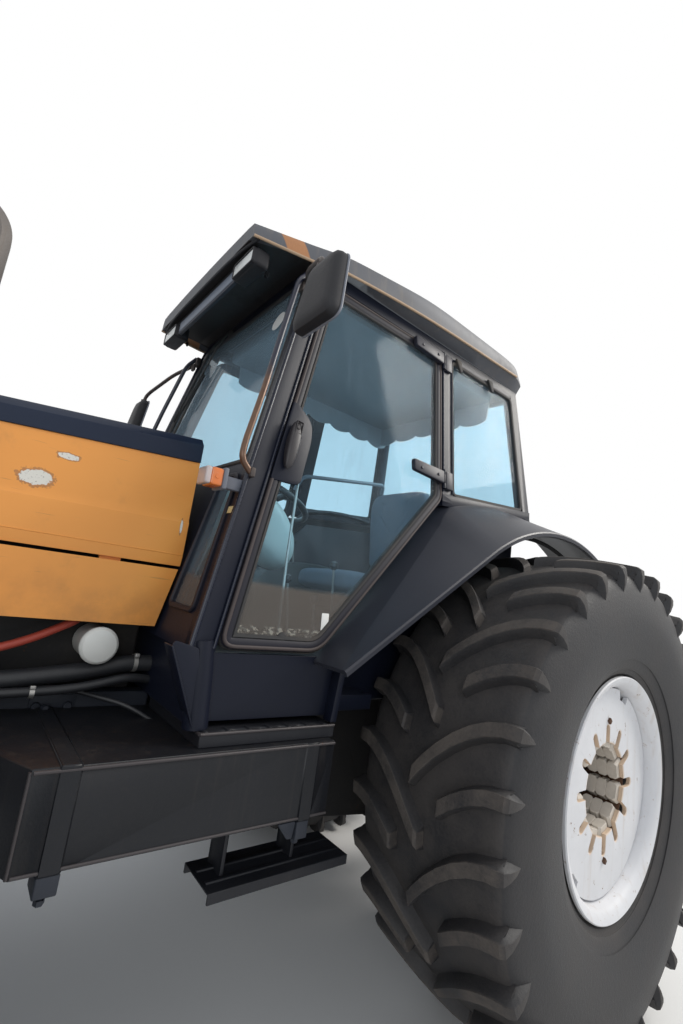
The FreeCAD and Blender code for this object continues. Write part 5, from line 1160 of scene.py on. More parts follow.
class TRACTOR_OT_doors(bpy.types.Operator):
    """Door frames with rounded corners, seals, hinges, handle plate and grip, latch rod and blank stickers"""
    bl_idname = "tractor.doors"
    bl_label = "Doors"

    def execute(self, context):
        edge = on_side(door_outline())
        frame_parts = edging(edge, SIDE_OUT, DOOR_SECTION)
        for z in HINGES:
            frame_parts += self.hinge(z)
        pair("door_frame", frame_parts, "frame_brown", "door_left", replaces=("door_left",))
        seals = edging(edge, SIDE_OUT, SEAL_SECTION) + edging(edge, SIDE_OUT, OUTER_SEAL)
        pair("door_seals", seals, "trim_rubber", "door_left")
        bead = edging(on_side(door_outline(0.002)), SIDE_OUT, rib(0.011, 0.0045) + (0, 0.0005))
        pair("door_bead", bead, "bead_brown", "door_left")
        covers = []
        for z in HINGES:
            covers += self.hinge_cover(z)
        pair("door_hinge_covers", covers, "hinge_brown", "door_left")
        pair("door_handle_plate", self.backing(), "cab_grey", "door_left")
        pair("door_grip", self.grip(), "grip_grey", "door_left")
        pair("door_latch_rod", self.latch_rod(), "zinc", "door_left")
        pair("door_latch_foot", self.latch_foot(), "trim_rubber", "door_left")
        pair("door_stickers", self.stickers(), sticker_white(), "door_left")
        return {"FINISHED"}

    def hinge(self, z):
        """Knuckle on the tilted pin line, with a leaf to the frame."""
        middle = on_side((0.588, z), 0.0095)
        up = unit(on_side((0.588, z + 1)) - on_side((0.588, z)))
        parts = turned(((-0.02, 0.0), (-0.02, 0.008), (-0.018, 0.009), (0.018, 0.009), (0.02, 0.008),
                        (0.02, 0.0)), middle, 24, up)
        return parts + to_side(soft_box((0.592, 0.0035, z - 0.019), (0.626, 0.009, z + 0.019), 0.0015))

    def hinge_cover(self, z):
        """Long pressed arm over the leaf, with a raised middle and two bolts."""
        parts = to_side(plate(((0.6, z - 0.026), (0.786, z - 0.014), (0.79, z + 0.034), (0.6, z + 0.03)),
                              0.01, 4, Y, 0.003, 0.022, 0.005))
        for x in (0.64, 0.745):
            parts += to_side(bolt((x, 0.024, z + 0.004), Y, 0.013, 0.005))
        return parts

    def backing(self):
        """Plate behind the grip, from the frame's front edge back, with a large round rear corner."""
        return to_side(plate(((1.43, 1.812), (1.369, 2.104), (1.346, 2.096), (1.289, 2.05), (1.284, 1.99),
                              (1.318, 1.815)), (0.012, 0.02, 0.02, 0.05, 0.05, 0.025), 6, Y, -0.006, 0.011,
                             0.003))

    def grip(self):
        """Tapered grip that bulges out between its ends, with a square lock frame at its top."""
        rows = np.linspace(0, 1, 25)
        angle = np.linspace(0, 2 * math.pi, 24, endpoint=False)
        bulge = np.sin(math.pi * rows) ** 0.35
        bulge[0] = bulge[-1] = 0.02
        spine_x = 1.383 - 0.026 * rows
        spine_z = 1.852 + 0.175 * rows
        wide = (0.02 + 0.003 * rows) * bulge
        deep = (0.015 + 0.004 * np.sin(math.pi * rows)) * bulge
        round_x = np.sign(np.cos(angle)) * np.abs(np.cos(angle)) ** 0.6
        round_w = np.sign(np.sin(angle)) * np.abs(np.sin(angle)) ** 0.6
        points = grid(spine_x[:, None] + wide[:, None] * round_x, 0.02 + deep[:, None] * round_w,
                      spine_z[:, None])
        parts = [sheet(points, False, True), cap(points[0]), cap(points[-1])]
        parts += soft_box((1.345, 0.004, 1.966), (1.378, 0.036, 1.969), 0.001)
        lock = turned(((0.03, 0.0), (0.0375, 0.0), (0.0375, 0.006), (0.035, 0.0075), (0.03, 0.0075)),
                      (1.3615, 0, 1.998), 20)
        frame_line = bent(((1.348, 1.976), (1.375, 1.972), (1.368, 2.024), (1.341, 2.02)), 0.004, 3, True)
        parts += lock + edging(level(frame_line, Y, 0.034), Y, rib(0.004, 0.003, -0.004))
        return to_side(parts)

    def latch_rod(self):
        """Thin rod inside the glass from the latch down to a round foot."""
        return to_side(tube(((1.3, -0.034, 1.86), (1.318, -0.034, 1.6), (1.331, -0.03, 1.345)), 0.0045, 10))

    def latch_foot(self):
        """Round foot of the latch rod, inside and outside the glass."""
        foot = turned(((-0.034, 0.0), (-0.034, 0.014), (-0.02, 0.018), (-0.013, 0.018), (-0.013, 0.0)),
                      LATCH_FOOT, 28)
        face = turned(((-0.0055, 0.0), (-0.0055, 0.017), (-0.002, 0.015), (0.0, 0.006), (0.0, 0.0)),
                      LATCH_FOOT, 28)
        return to_side(foot + face)

    def stickers(self):
        """Small blank sticker low on the glass."""
        return to_side(plate(((1.159, 1.368), (1.188, 1.368), (1.186, 1.423), (1.157, 1.423)), 0.003, 3,
                             Y, -0.0055, 0.0006, 0.0002))


# Cab shell

class TRACTOR_OT_cab_trim(bpy.types.Operator):
    """Beads, seals, clips, pillar feet and gussets on the cab's frame"""
    bl_idname = "tractor.cab_trim"
    bl_label = "Cab trim"

    def execute(self, context):
        seal = ((-0.006, -0.012), (-0.006, -0.001), (-0.002, 0.002), (0.008, 0.001), (0.012, -0.004),
                (0.012, -0.012))
        outline = bent(((0.512, 1.98), (-0.052, 2.036), (0.006, 2.648), (0.512, 2.648)), 0.03, 7, True)
        side = edging(on_side(outline), SIDE_OUT, seal)
        outline = bent(((0.428, 1.392), (0.604, 1.392), (0.55, 1.808), (0.428, 1.808)), 0.02, 6, True)
        quarter = edging(on_front(outline), FRONT_OUT, ((-0.012, -0.008), (-0.012, 0.004), (-0.008, 0.007),
                                                        (0.002, 0.007), (0.006, 0.002), (0.006, -0.012)))
        pair("side_window_seal", side, "trim_rubber")
        pair("quarter_window_frame", quarter, "frame_brown")
        piece("windscreen_seal", edging(on_front(screen_outline()), FRONT_OUT, seal), "trim_rubber")
        pair("pillar_beads", self.beads(), "pillar_gloss")
        pair("window_clips", self.clips(), "trim_rubber")
        pair("hinge_posts", self.hinge_posts(), "hinge_brown")
        pair("pillar_foot", self.foot(), "cab_grey")
        pair("gusset", self.gusset(), "cab_grey")
        return {"FINISHED"}

    def beads(self):
        """Half-round beads up the outer corner of the front pillar and round the side of the cab."""
        heights = np.linspace(1.3, 2.66, 24)
        parts = tube(grid(front_x(heights) + 0.001, side_y(heights) + 0.001, heights), 0.0075, 12)
        parts += tube(grid(front_x(heights) - 0.064, side_y(heights) + 0.001, heights), 0.004, 8)
        post = np.linspace(1.985, 2.66, 12)
        for x in (0.519, 0.581):
            parts += tube(grid(x, side_y(post) + 0.001, post), 0.0045, 8)
        return parts

    def clips(self):
        """Two bent clips over the top edge of the rear side window."""
        parts = []
        for x in (0.475, 0.215):
            parts += to_side(plate(((x + 0.018, 2.668), (x - 0.022, 2.668), (x - 0.03, 2.61),
                                    (x - 0.014, 2.606)), 0.006, 4, Y, 0.001, 0.012, 0.003))
        return parts

    def hinge_posts(self):
        """Blocks on the door pillar that carry the hinge pins."""
        parts = []
        for z in HINGES:
            parts += to_side(plate(((0.528, z - 0.04), (0.574, z - 0.04), (0.574, z + 0.04),
                                    (0.528, z + 0.04)), 0.008, 4, Y, 0.001, 0.012, 0.003))
        return parts

    def foot(self):
        """Round pillar foot between the sill and the platform."""
        return tube(((1.574, 0.664, 1.318), (1.566, 0.668, 1.24), (1.556, 0.672, 1.096)),
                    (0.03, 0.034, 0.034), 24)

    def gusset(self):
        """Folded plate from the cab's front corner down to the platform's corner, and the rear flange."""
        parts = plate(((1.592, 1.3), (1.66, 1.318), (1.668, 1.3), (1.572, 1.096), (1.548, 1.096)), 0.006, 3,
                      Y, 0.69, 0.005, 0.0015)
        fold = ((1.664, 0.64, 1.306), (1.664, 0.7, 1.306), (1.57, 0.7, 1.1), (1.57, 0.64, 1.1))
        parts += slab(bent(fold, 0.004, 3, True), (0.91, 0.0, -0.41), 0.005, 0.0015)
        return parts + plate(((1.096, 1.284), (1.118, 1.284), (1.136, 1.098), (1.112, 1.098)), 0.004, 3,
                             Y, 0.676, 0.04, 0.003)


# Fenders

def through(start, middle_spot, end, count):
    """Points of the circle's arc through three points of a plane."""
    start, middle_spot, end = (np.asarray(spot, float) for spot in (start, middle_spot, end))
    rows = np.array([middle_spot - start, end - start]) * 2
    centre = np.linalg.solve(rows, [middle_spot @ middle_spot - start @ start, end @ end - start @ start])
    turns = [math.atan2(*(spot - centre)[::-1]) for spot in (start, end)]
    if turns[1] < turns[0]:
        turns[1] += 2 * math.pi
    angle = np.linspace(turns[0], turns[1], count)
    radius = np.linalg.norm(start - centre)
    return centre + radius * np.stack([np.cos(angle), np.sin(angle)], 1)


class TRACTOR_OT_fenders(bpy.types.Operator):
    """Fenders: a surface ruled from the cab's side over a crease to a rolled lip, with a liner under it"""
    bl_idname = "tractor.fenders"
    bl_label = "Fenders"

    def execute(self, context):
        front, arch = 26, 40
        t = np.linspace(0, 1, front)[:, None]
        rim = np.concatenate([(1.22, 1.28) * (1 - t) + np.array((0.53, 1.743)) * t,
                              through((0.53, 1.743), (-0.174, 1.88), (-0.788, 1.511), arch)[1:]])
        root = np.concatenate([(1.19, 1.272) * (1 - t) + np.array((0.53, 1.968)) * t,
                               through((0.53, 1.968), (-0.02, 2.006), (-0.87, 1.6), arch)[1:]])
        count = len(rim)
        run = np.minimum(np.arange(count) / (front - 1), 1)
        share = 0.97 - 0.72 * run ** 0.8
        share[front:] = 0.25 - 0.1 * np.linspace(0, 1, count - front)
        lift = 0.016 * np.sin(math.pi * run) ** 0.7 + 0.01 * (np.arange(count) >= front - 3)
        slope = unit(np.gradient(rim, axis=0))
        outward = np.stack([slope[:, 1], -slope[:, 0]], 1)
        outward *= np.sign(outward[:, 1:])
        # Columns across: share from the root to the rim, part of the crease's lift
        near = np.stack(np.broadcast_arrays(0.0, share * 0.5, share - 0.015, share, share + 0.015,
                                            0.5 * (share + 1), 0.985, 1.0), 1)
        raised = lift[:, None] * (0.0, 0.5, 0.95, 1.0, 0.96, 0.5, 0.0, 0.0)
        near = np.minimum(near, 1.0)
        root_y, rim_y = 0.5203, 0.85
        flat = root[:, None] * (1 - near[..., None]) + rim[:, None] * near[..., None]
        flat = flat + outward[:, None] * raised[..., None]
        top = grid(flat[..., 0], root_y + (rim_y - root_y) * near, flat[..., 1])
        down = -np.stack([outward[:, 0], np.zeros(count), outward[:, 1]], 1)[:, None]
        # The lip's fold: how far down and how far out from the rim
        fold = ((0.006, 0.004), (0.02, 0.002), (0.024, -0.01), (0.016, -0.016))
        rolled = np.concatenate([top[:, -1:] + down * drop + Y * out for drop, out in fold], 1)
        under = top[:, -2::-1] + down * 0.014
        ring = np.concatenate([top, rolled, under], 1)
        parts = [sheet(ring, False, True), cap(ring[0]), cap(ring[-1])]
        pair("fender", parts, "fender_grey", sharp=24, replaces=("rear_fenders",))
        pair("fender_liner", self.liner(rim), "trim_rubber")
        return {"FINISHED"}

    def liner(self, rim):
        """Joint strip under the arch, a little nearer the wheel's middle than the rim."""
        arch = rim[30:]
        return tube(grid(arch[:, 0] * 0.985, 0.7, 0.895 + (arch[:, 1] - 0.895) * 0.978), 0.01, 8)


# Hood side

HOOD_HALF = 0.3995


class TRACTOR_OT_engine_side(bpy.types.Operator):
    """Filter canister, hoses with clamps, pipes and bolts beside the engine, and the fold along the hood"""
    bl_idname = "tractor.engine_side"
    bl_label = "Engine side"

    def execute(self, context):
        piece("filter_can", turned((
            (0.2706, 0.0), (0.2706, 0.04), (0.28, 0.049), (0.384, 0.0495), (0.387, 0.0515), (0.393, 0.0525),
            (0.399, 0.052), (0.4035, 0.05), (0.4055, 0.047), (0.4075, 0.046), (0.4095, 0.043), (0.4095, 0.0)),
            (1.762, 0, 1.25), 72), "filter_white", replaces=("filter_canister",))
        red = tube(smooth(bent(((1.815, 0.2703, 1.312), (1.815, 0.33, 1.312), (1.93, 0.345, 1.25),
                                (2.08, 0.345, 1.196), (2.32, 0.33, 1.205), (2.32, 0.2703, 1.205)), 0.05, 5),
                          2), 0.0115, 16)
        piece("red_hose", red, "hose_red", replaces=("engine_hoses",))
        black = tube(bent(((1.5925, 0.345, 1.195), (1.66, 0.345, 1.195), (1.78, 0.345, 1.168),
                           (1.99, 0.35, 1.142), (2.34, 0.35, 1.146), (2.34, 0.2703, 1.146)), 0.06, 7), 0.024,
                     20)
        grey = tube(bent(((2.38, 0.384, 1.116), (2.0, 0.384, 1.116), (1.8, 0.384, 1.128), (1.66, 0.38, 1.16),
                          (1.5925, 0.36, 1.15)), 0.08, 7), 0.0125, 16)
        thin = tube(bent(((1.92, 0.305, 1.13), (1.78, 0.33, 1.11), (1.66, 0.42, 1.09), (1.585, 0.45, 1.05)),
                         0.04, 6), 0.0065, 12)
        piece("black_hoses", black + grey + thin, "hose_black")
        bands = []
        for x, y, z, radius in ((1.64, 0.345, 1.195, 0.0245), (1.9, 0.384, 1.1195, 0.013),
                                (2.2, 0.35, 1.1445, 0.0245)):
            bands += turned(((-0.006, radius), (-0.006, radius + 0.0018), (0.006, radius + 0.0018),
                             (0.006, radius)), (x, y, z), 32, X, True)
            bands += soft_box((x - 0.007, y + radius * 0.4, z + radius * 0.8),
                              (x + 0.007, y + radius, z + radius + 0.007), 0.002)
        piece("hose_clamps", bands, "zinc")
        nuts = []
        for x in (1.79, 1.87, 2.06, 2.3):
            nuts += turned(((0.2995, 0.0), (0.2995, 0.017), (0.3015, 0.017), (0.3035, 0.013), (0.31, 0.012),
                            (0.312, 0.01), (0.312, 0.0)), (x, 0, 1.062), 24)
        nuts += plate(((1.772, 1.094), (1.888, 1.094), (1.888, 1.058), (1.772, 1.058)), 0.004, 3, Y, 0.3005,
                      0.004, 0.001)
        pair("rail_bolts", nuts, "chassis_blue")
        pair("hood_fold", tube(grid(np.linspace(1.578, 3.34, 40), HOOD_HALF, 1.541), 0.0022, 8), hood_paint())
        pair("hood_knobs", self.knobs(), "trim_rubber")
        return {"FINISHED"}

    def knobs(self):
        """Round latch heads on the lower side panels."""
        parts = []
        for x in (2.15, 3.05):
            parts += turned(((HOOD_HALF, 0.0), (HOOD_HALF, 0.016), (0.403, 0.0155), (0.405, 0.012),
                             (0.405, 0.0)), (x, 0, 1.4), 28)
        return parts


# Roof, lamps, mirrors and rails

# Points along the roof's lower edge
ROOF_LIP = np.array(((-0.062, 0.52, 2.7453), (0.04, 0.556, 2.7523), (0.72, 0.56, 2.7303),
                     (1.2, 0.552, 2.6943), (1.34, 0.532, 2.6723), (1.576, 0.485, 2.6643)))
# Sections of the roof: place, half of the flat underside, half width, heights of underside, lip and crown
ROOF_SECTIONS = np.array(((-0.062, 0.49, 0.52, 2.7003, 2.7453, 2.7883, 2.7983),
                          (0.04, 0.507, 0.556, 2.7003, 2.7523, 2.8273, 2.8403),
                          (0.72, 0.507, 0.56, 2.7003, 2.7303, 2.8363, 2.8503),
                          (1.2, 0.507, 0.552, 2.7003, 2.6943, 2.7783, 2.8053),
                          (1.34, 0.507, 0.532, 2.7003, 2.6723, 2.7503, 2.7783),
                          (1.576, 0.44, 0.485, 2.6663, 2.6643, 2.7223, 2.7323)))


class TRACTOR_OT_roof(bpy.types.Operator):
    """The roof's painted cap, its pale lower edge, the strip between the lamps and the hooks"""
    bl_idname = "tractor.roof"
    bl_label = "Roof"

    def execute(self, context):
        finish = roof_paint()
        piece("roof_cap", self.loft(), finish, replaces=("roof",), sharp=40)
        lining = plate(((0.062, -LINING_HALF), (1.218, -LINING_HALF), (1.218, LINING_HALF),
                        (0.062, LINING_HALF)), 0.03, 5, Z, 2.625, 0.078, 0.012)
        piece("roof_lining", lining, finish)
        lip = smooth(ROOF_LIP[1:], 8)
        pair("roof_edge", tube(lip + (0, -0.002, -0.001), 0.0055, 10), "edge_cream")
        front = np.linspace(-0.478, 0.478, 30)
        brow = grid(1.575 - 0.02 * (front / 0.478) ** 4, front, 2.664)
        piece("roof_brow", tube(brow, 0.006, 10), "roof_rim")
        strip = plate(((-0.296, 2.588), (0.296, 2.588), (0.296, 2.65), (-0.296, 2.65)), 0.01, 4, X, 1.53,
                      0.016, 0.004)
        piece("visor_strip", strip, "strip_blue")
        face = plate(((-0.285, 2.598), (0.285, 2.598), (0.285, 2.642), (-0.285, 2.642)), 0.006, 4, X, 1.5455,
                     0.0025, 0.0008)
        piece("visor_plate", face, "plate_grey")
        hooks = []
        for y in (-0.395, 0.395):
            hooks += tube(bent(((1.47, y, 2.65), (1.47, y, 2.6), (1.47, y + 0.022, 2.59),
                                (1.47, y + 0.022, 2.61)), 0.01, 5), 0.003, 8)
        hooks += soft_box((1.5, -0.34, 2.64), (1.545, 0.34, 2.668), 0.004)
        piece("visor_hooks", hooks, "mirror_shell")
        return {"FINISHED"}

    def loft(self):
        """The cap's sections carried along a smooth curve: underside, lip and crown. The crown falls off
        with the square of the distance from the middle."""
        rows = np.stack([np.interp(np.linspace(0, 5, 61), np.arange(6), ROOF_SECTIONS[:, k])
                         for k in range(7)], 1)
        kernel = np.array((1, 4, 6, 4, 1)) / 16
        for _ in range(4):
            wide = np.concatenate([rows[:1], rows[:1], rows, rows[-1:], rows[-1:]])
            rows = np.stack([np.convolve(wide[:, k], kernel, "valid") for k in range(7)], 1)
        rows[0], rows[-1] = ROOF_SECTIONS[0], ROOF_SECTIONS[-1]
        x, flat, half, under, low, top, crown = rows.T[:, :, None]
        share = np.linspace(0, 1, 12)[1:]
        side = np.linspace(0, 1, 6)[None]
        lean = half - 0.004 - 0.01 * side ** 2
        right_y = np.concatenate([flat * 0, flat, half - 0.003, lean, half - 0.018, (half - 0.018)
                                  * (1 - share)], 1)
        right_z = np.concatenate([under, under, low, low + 0.003 + (top - low - 0.012) * side, top - 0.003,
                                  top + (crown - top) * (1 - (1 - share) ** 2)], 1)
        y = np.concatenate([right_y, -right_y[:, -2:0:-1]], 1)
        z = np.concatenate([right_z, right_z[:, -2:0:-1]], 1)
        points = grid(x, y, z)
        return [sheet(points, False, True), cap(points[0]), cap(points[-1])]


class TRACTOR_OT_lamps(bpy.types.Operator):
    """Work lamps under the visor, headlamps in the nose and indicators on brackets"""
    bl_idname = "tractor.lamps"
    bl_label = "Lamps"

    def execute(self, context):
        shell = soft_box((1.492, 0.3, 2.58), (1.5535, 0.468, 2.648), 0.014, 3)
        rim = bent(((0.303, 2.583), (0.465, 2.583), (0.465, 2.645), (0.303, 2.645)), 0.012, 5, True)
        shell += edging(level(rim, X, 1.552), X, ((0.0, -0.01), (0.0, 0.006), (0.002, 0.009), (0.007, 0.009),
                                                         (0.009, 0.006), (0.009, -0.01)))
        shell += soft_box((1.524, 0.392, 2.63), (1.546, 0.418, 2.6995), 0.004)
        pair("work_lamp_shell", shell, "mirror_shell", replaces=("lamps",))
        glass = soft_box((1.545, 0.311, 2.591), (1.5595, 0.457, 2.637), 0.005, 3)
        pair("work_lamp_lens", glass, lens("lens_clear", (0.62, 0.64, 0.62)))
        nose = level(bent(((0.152, 1.562), (0.152, 1.678), (0.3, 1.678), (0.318, 1.66), (0.318, 1.59),
                           (0.29, 1.562)), 0.012, 4, True), X, 3.394)
        pair("headlamp_rim", edging(nose, X, ((0.0, 0.0), (0.0, 0.016), (0.003, 0.019), (0.01, 0.019),
                                              (0.012, 0.014), (0.012, 0.0))), "mirror_shell")
        pair("headlamp_lens", slab(nose, X, 0.012, 0.003), lens("lens_head", (0.6, 0.62, 0.62)))
        base = soft_boxes((((1.585, 0.588, 1.734), (1.599, 0.662, 1.796)),
                           ((1.505, 0.592, 1.746), (1.592, 0.616, 1.784))))
        pair("indicator_bracket", base, "indicator_grey")
        amber = soft_box((1.597, 0.593, 1.739), (1.634, 0.659, 1.791), 0.007, 3)
        amber += turned(((0.0, 0.0), (0.0, 0.007), (0.0025, 0.006), (0.0025, 0.0)), (1.616, 0.6585, 1.765),
                        16)
        pair("indicator_lens", amber, lens("lens_amber", (0.72, 0.17, 0.02)))
        pale = soft_box((1.632, 0.594, 1.74), (1.65, 0.658, 1.79), 0.006, 3)
        pair("indicator_tip", pale, lens("lens_pale", (0.5, 0.42, 0.4)))
        tags = slab(((0.618, 0.0, 0.0), (0.652, 0.0, 0.0), (0.652, 0.022, 0.0), (0.618, 0.022, 0.0)), Z,
                    0.0008, 0.0002)
        tags = moved(tags, lambda p: on_front(np.stack([p[:, 0] - 0.045, p[:, 1] + 1.68], 1), p[:, 2]
                                              + 0.0005))
        pair("tag", tags, "tag_yellow")
        return {"FINISHED"}


MIRROR_LEAN = 0.13


def on_mirror(spots, x):
    """Points of the mirror's leaning plane from (y, z), from the place of its foot along the tractor."""
    return grid(x - (spots[..., 1] - 2.18) * MIRROR_LEAN, spots[..., 0], spots[..., 1])


class TRACTOR_OT_mirrors(bpy.types.Operator):
    """Mirror heads on bent tubes, and the long rails beside the front pillars"""
    bl_idname = "tractor.mirrors"
    bl_label = "Mirrors and rails"

    def execute(self, context):
        outline = bent(((0.798, 2.182), (0.984, 2.19), (0.944, 2.412), (0.806, 2.402)), 0.034, 8, True)
        centre = np.array((0.883, 2.298))
        rows = np.array(((0.0, 0.93), (0.0, 0.985), (0.004, 1.0), (0.022, 1.0), (0.034, 0.965), (0.043, 0.86),
                         (0.047, 0.66), (0.049, 0.35), (0.049, 0.0)))
        grown = centre + (outline - centre)[None] * rows[:, None, 1:]
        points = on_mirror(grown, 1.508 + rows[:, None, 0])
        parts = [sheet(points, False, True), cap(points[0])]
        pair("mirror_head", parts, "mirror_shell", replaces=("mirrors",))
        pair("mirror_rim", tube(on_mirror(outline, 1.5105), 0.0035, 8, True), "rim_light")
        face = on_mirror(centre + (outline - centre) * 0.94, 1.5066)
        pair("mirror_glass", slab(face, (-1.0, 0.0, -MIRROR_LEAN), 0.001, 0.0003), mirror_silver())
        arm = bent(((1.352, 0.508, 2.59), (1.43, 0.64, 2.53), (1.49, 0.815, 2.448), (1.502, 0.842, 2.42),
                    (1.499, 0.85, 2.3)), 0.05, 8)
        tubes = tube(arm, 0.0095, 16)
        tubes += turned(((-0.02, 0.0095), (-0.02, 0.016), (0.02, 0.016), (0.02, 0.0095)),
                        (1.503, 0.845, 2.385), 20, Z, True)
        tubes += soft_box((1.35, 0.492, 2.565), (1.372, 0.524, 2.615), 0.004)
        pair("mirror_arm", tubes, "mirror_tube")
        rail = bent(((1.366, 0.515, 2.612), (1.405, 0.538, 2.56), (1.462, 0.586, 2.29), (1.503, 0.614, 2.073),
                     (1.538, 0.628, 1.9), (1.544, 0.634, 1.842), (1.504, 0.626, 1.812)), 0.05, 8)
        pair("grab_rail", tube(rail, 0.01, 18), rail_paint(), replaces=("handrails",))
        feet = soft_boxes((((1.492, 0.612, 1.796), (1.508, 0.64, 1.826)),
                           ((1.368, 0.498, 2.54), (1.382, 0.53, 2.575))))
        pair("rail_feet", feet, "mirror_tube")
        return {"FINISHED"}


class TRACTOR_OT_wipers(bpy.types.Operator):
    """Two wiper arms with blades on the windscreen, and the plain disc on its glass"""
    bl_idname = "tractor.wipers"
    bl_label = "Wipers"

    def execute(self, context):
        parts = []
        for y_top, y_low, z_low in ((-0.3, -0.44, 2.05), (-0.2, -0.36, 2.12)):
            arm = np.array(((0.012, y_top, 2.66), (0.026, y_top - 0.02, 2.6), (0.02, y_low, z_low + 0.16)))
            parts += to_front(tube(bent(arm, 0.03, 5), 0.0045, 10))
            blade = np.array(((0.006, y_low + 0.035, z_low + 0.34), (0.009, y_low, z_low + 0.17),
                              (0.006, y_low - 0.03, z_low)))
            parts += to_front(tube(blade, 0.0065, 8))
            parts += to_front(turned(((0.0, 0.0), (0.0, 0.018), (0.012, 0.016), (0.016, 0.0)),
                                     (0, y_top, 2.664), 20, X))
        piece("wipers", parts, "trim_rubber")
        ring = turned(((0.0005, 0.0), (0.0005, 0.041), (0.0012, 0.041), (0.0015, 0.0)), (0, 0, 0), 40, X)
        disc = to_front(shifted(ring, (-0.0065, 0.335, 2.505)))
        piece("plain_disc", disc, sticker_white())
        return {"FINISHED"}


# Inside the cab

FLOOR_Z = 1.1605
LINING_HALF = 0.428


def pad(half, crown, seams):
    """A crowned closed form with a sewn groove at each seam: a superellipsoid, with its sines and cosines to
    powers of 0.3 to 0.55, higher in the middle; a seam sinks it by a narrow bell curve."""
    rows = np.linspace(-math.pi / 2, math.pi / 2, 41)[:, None]
    turns = np.linspace(0, 2 * math.pi, 72, endpoint=False)[None]

    def bent_wave(value, power):
        return np.sign(value) * np.abs(value) ** power

    level = bent_wave(np.cos(rows), 0.3)
    x = level * bent_wave(np.cos(turns), 0.32)
    y = level * bent_wave(np.sin(turns), 0.32)
    z = bent_wave(np.sin(rows), 0.55) * (1 + crown * (1 - x ** 2) * (1 - y ** 2))
    for seam in seams:
        z = z * (1 - 0.16 * np.exp(-((y - seam) / 0.035) ** 2))
    return [sheet(grid(x * half[0], y * half[1], z * half[2]), False, True)]


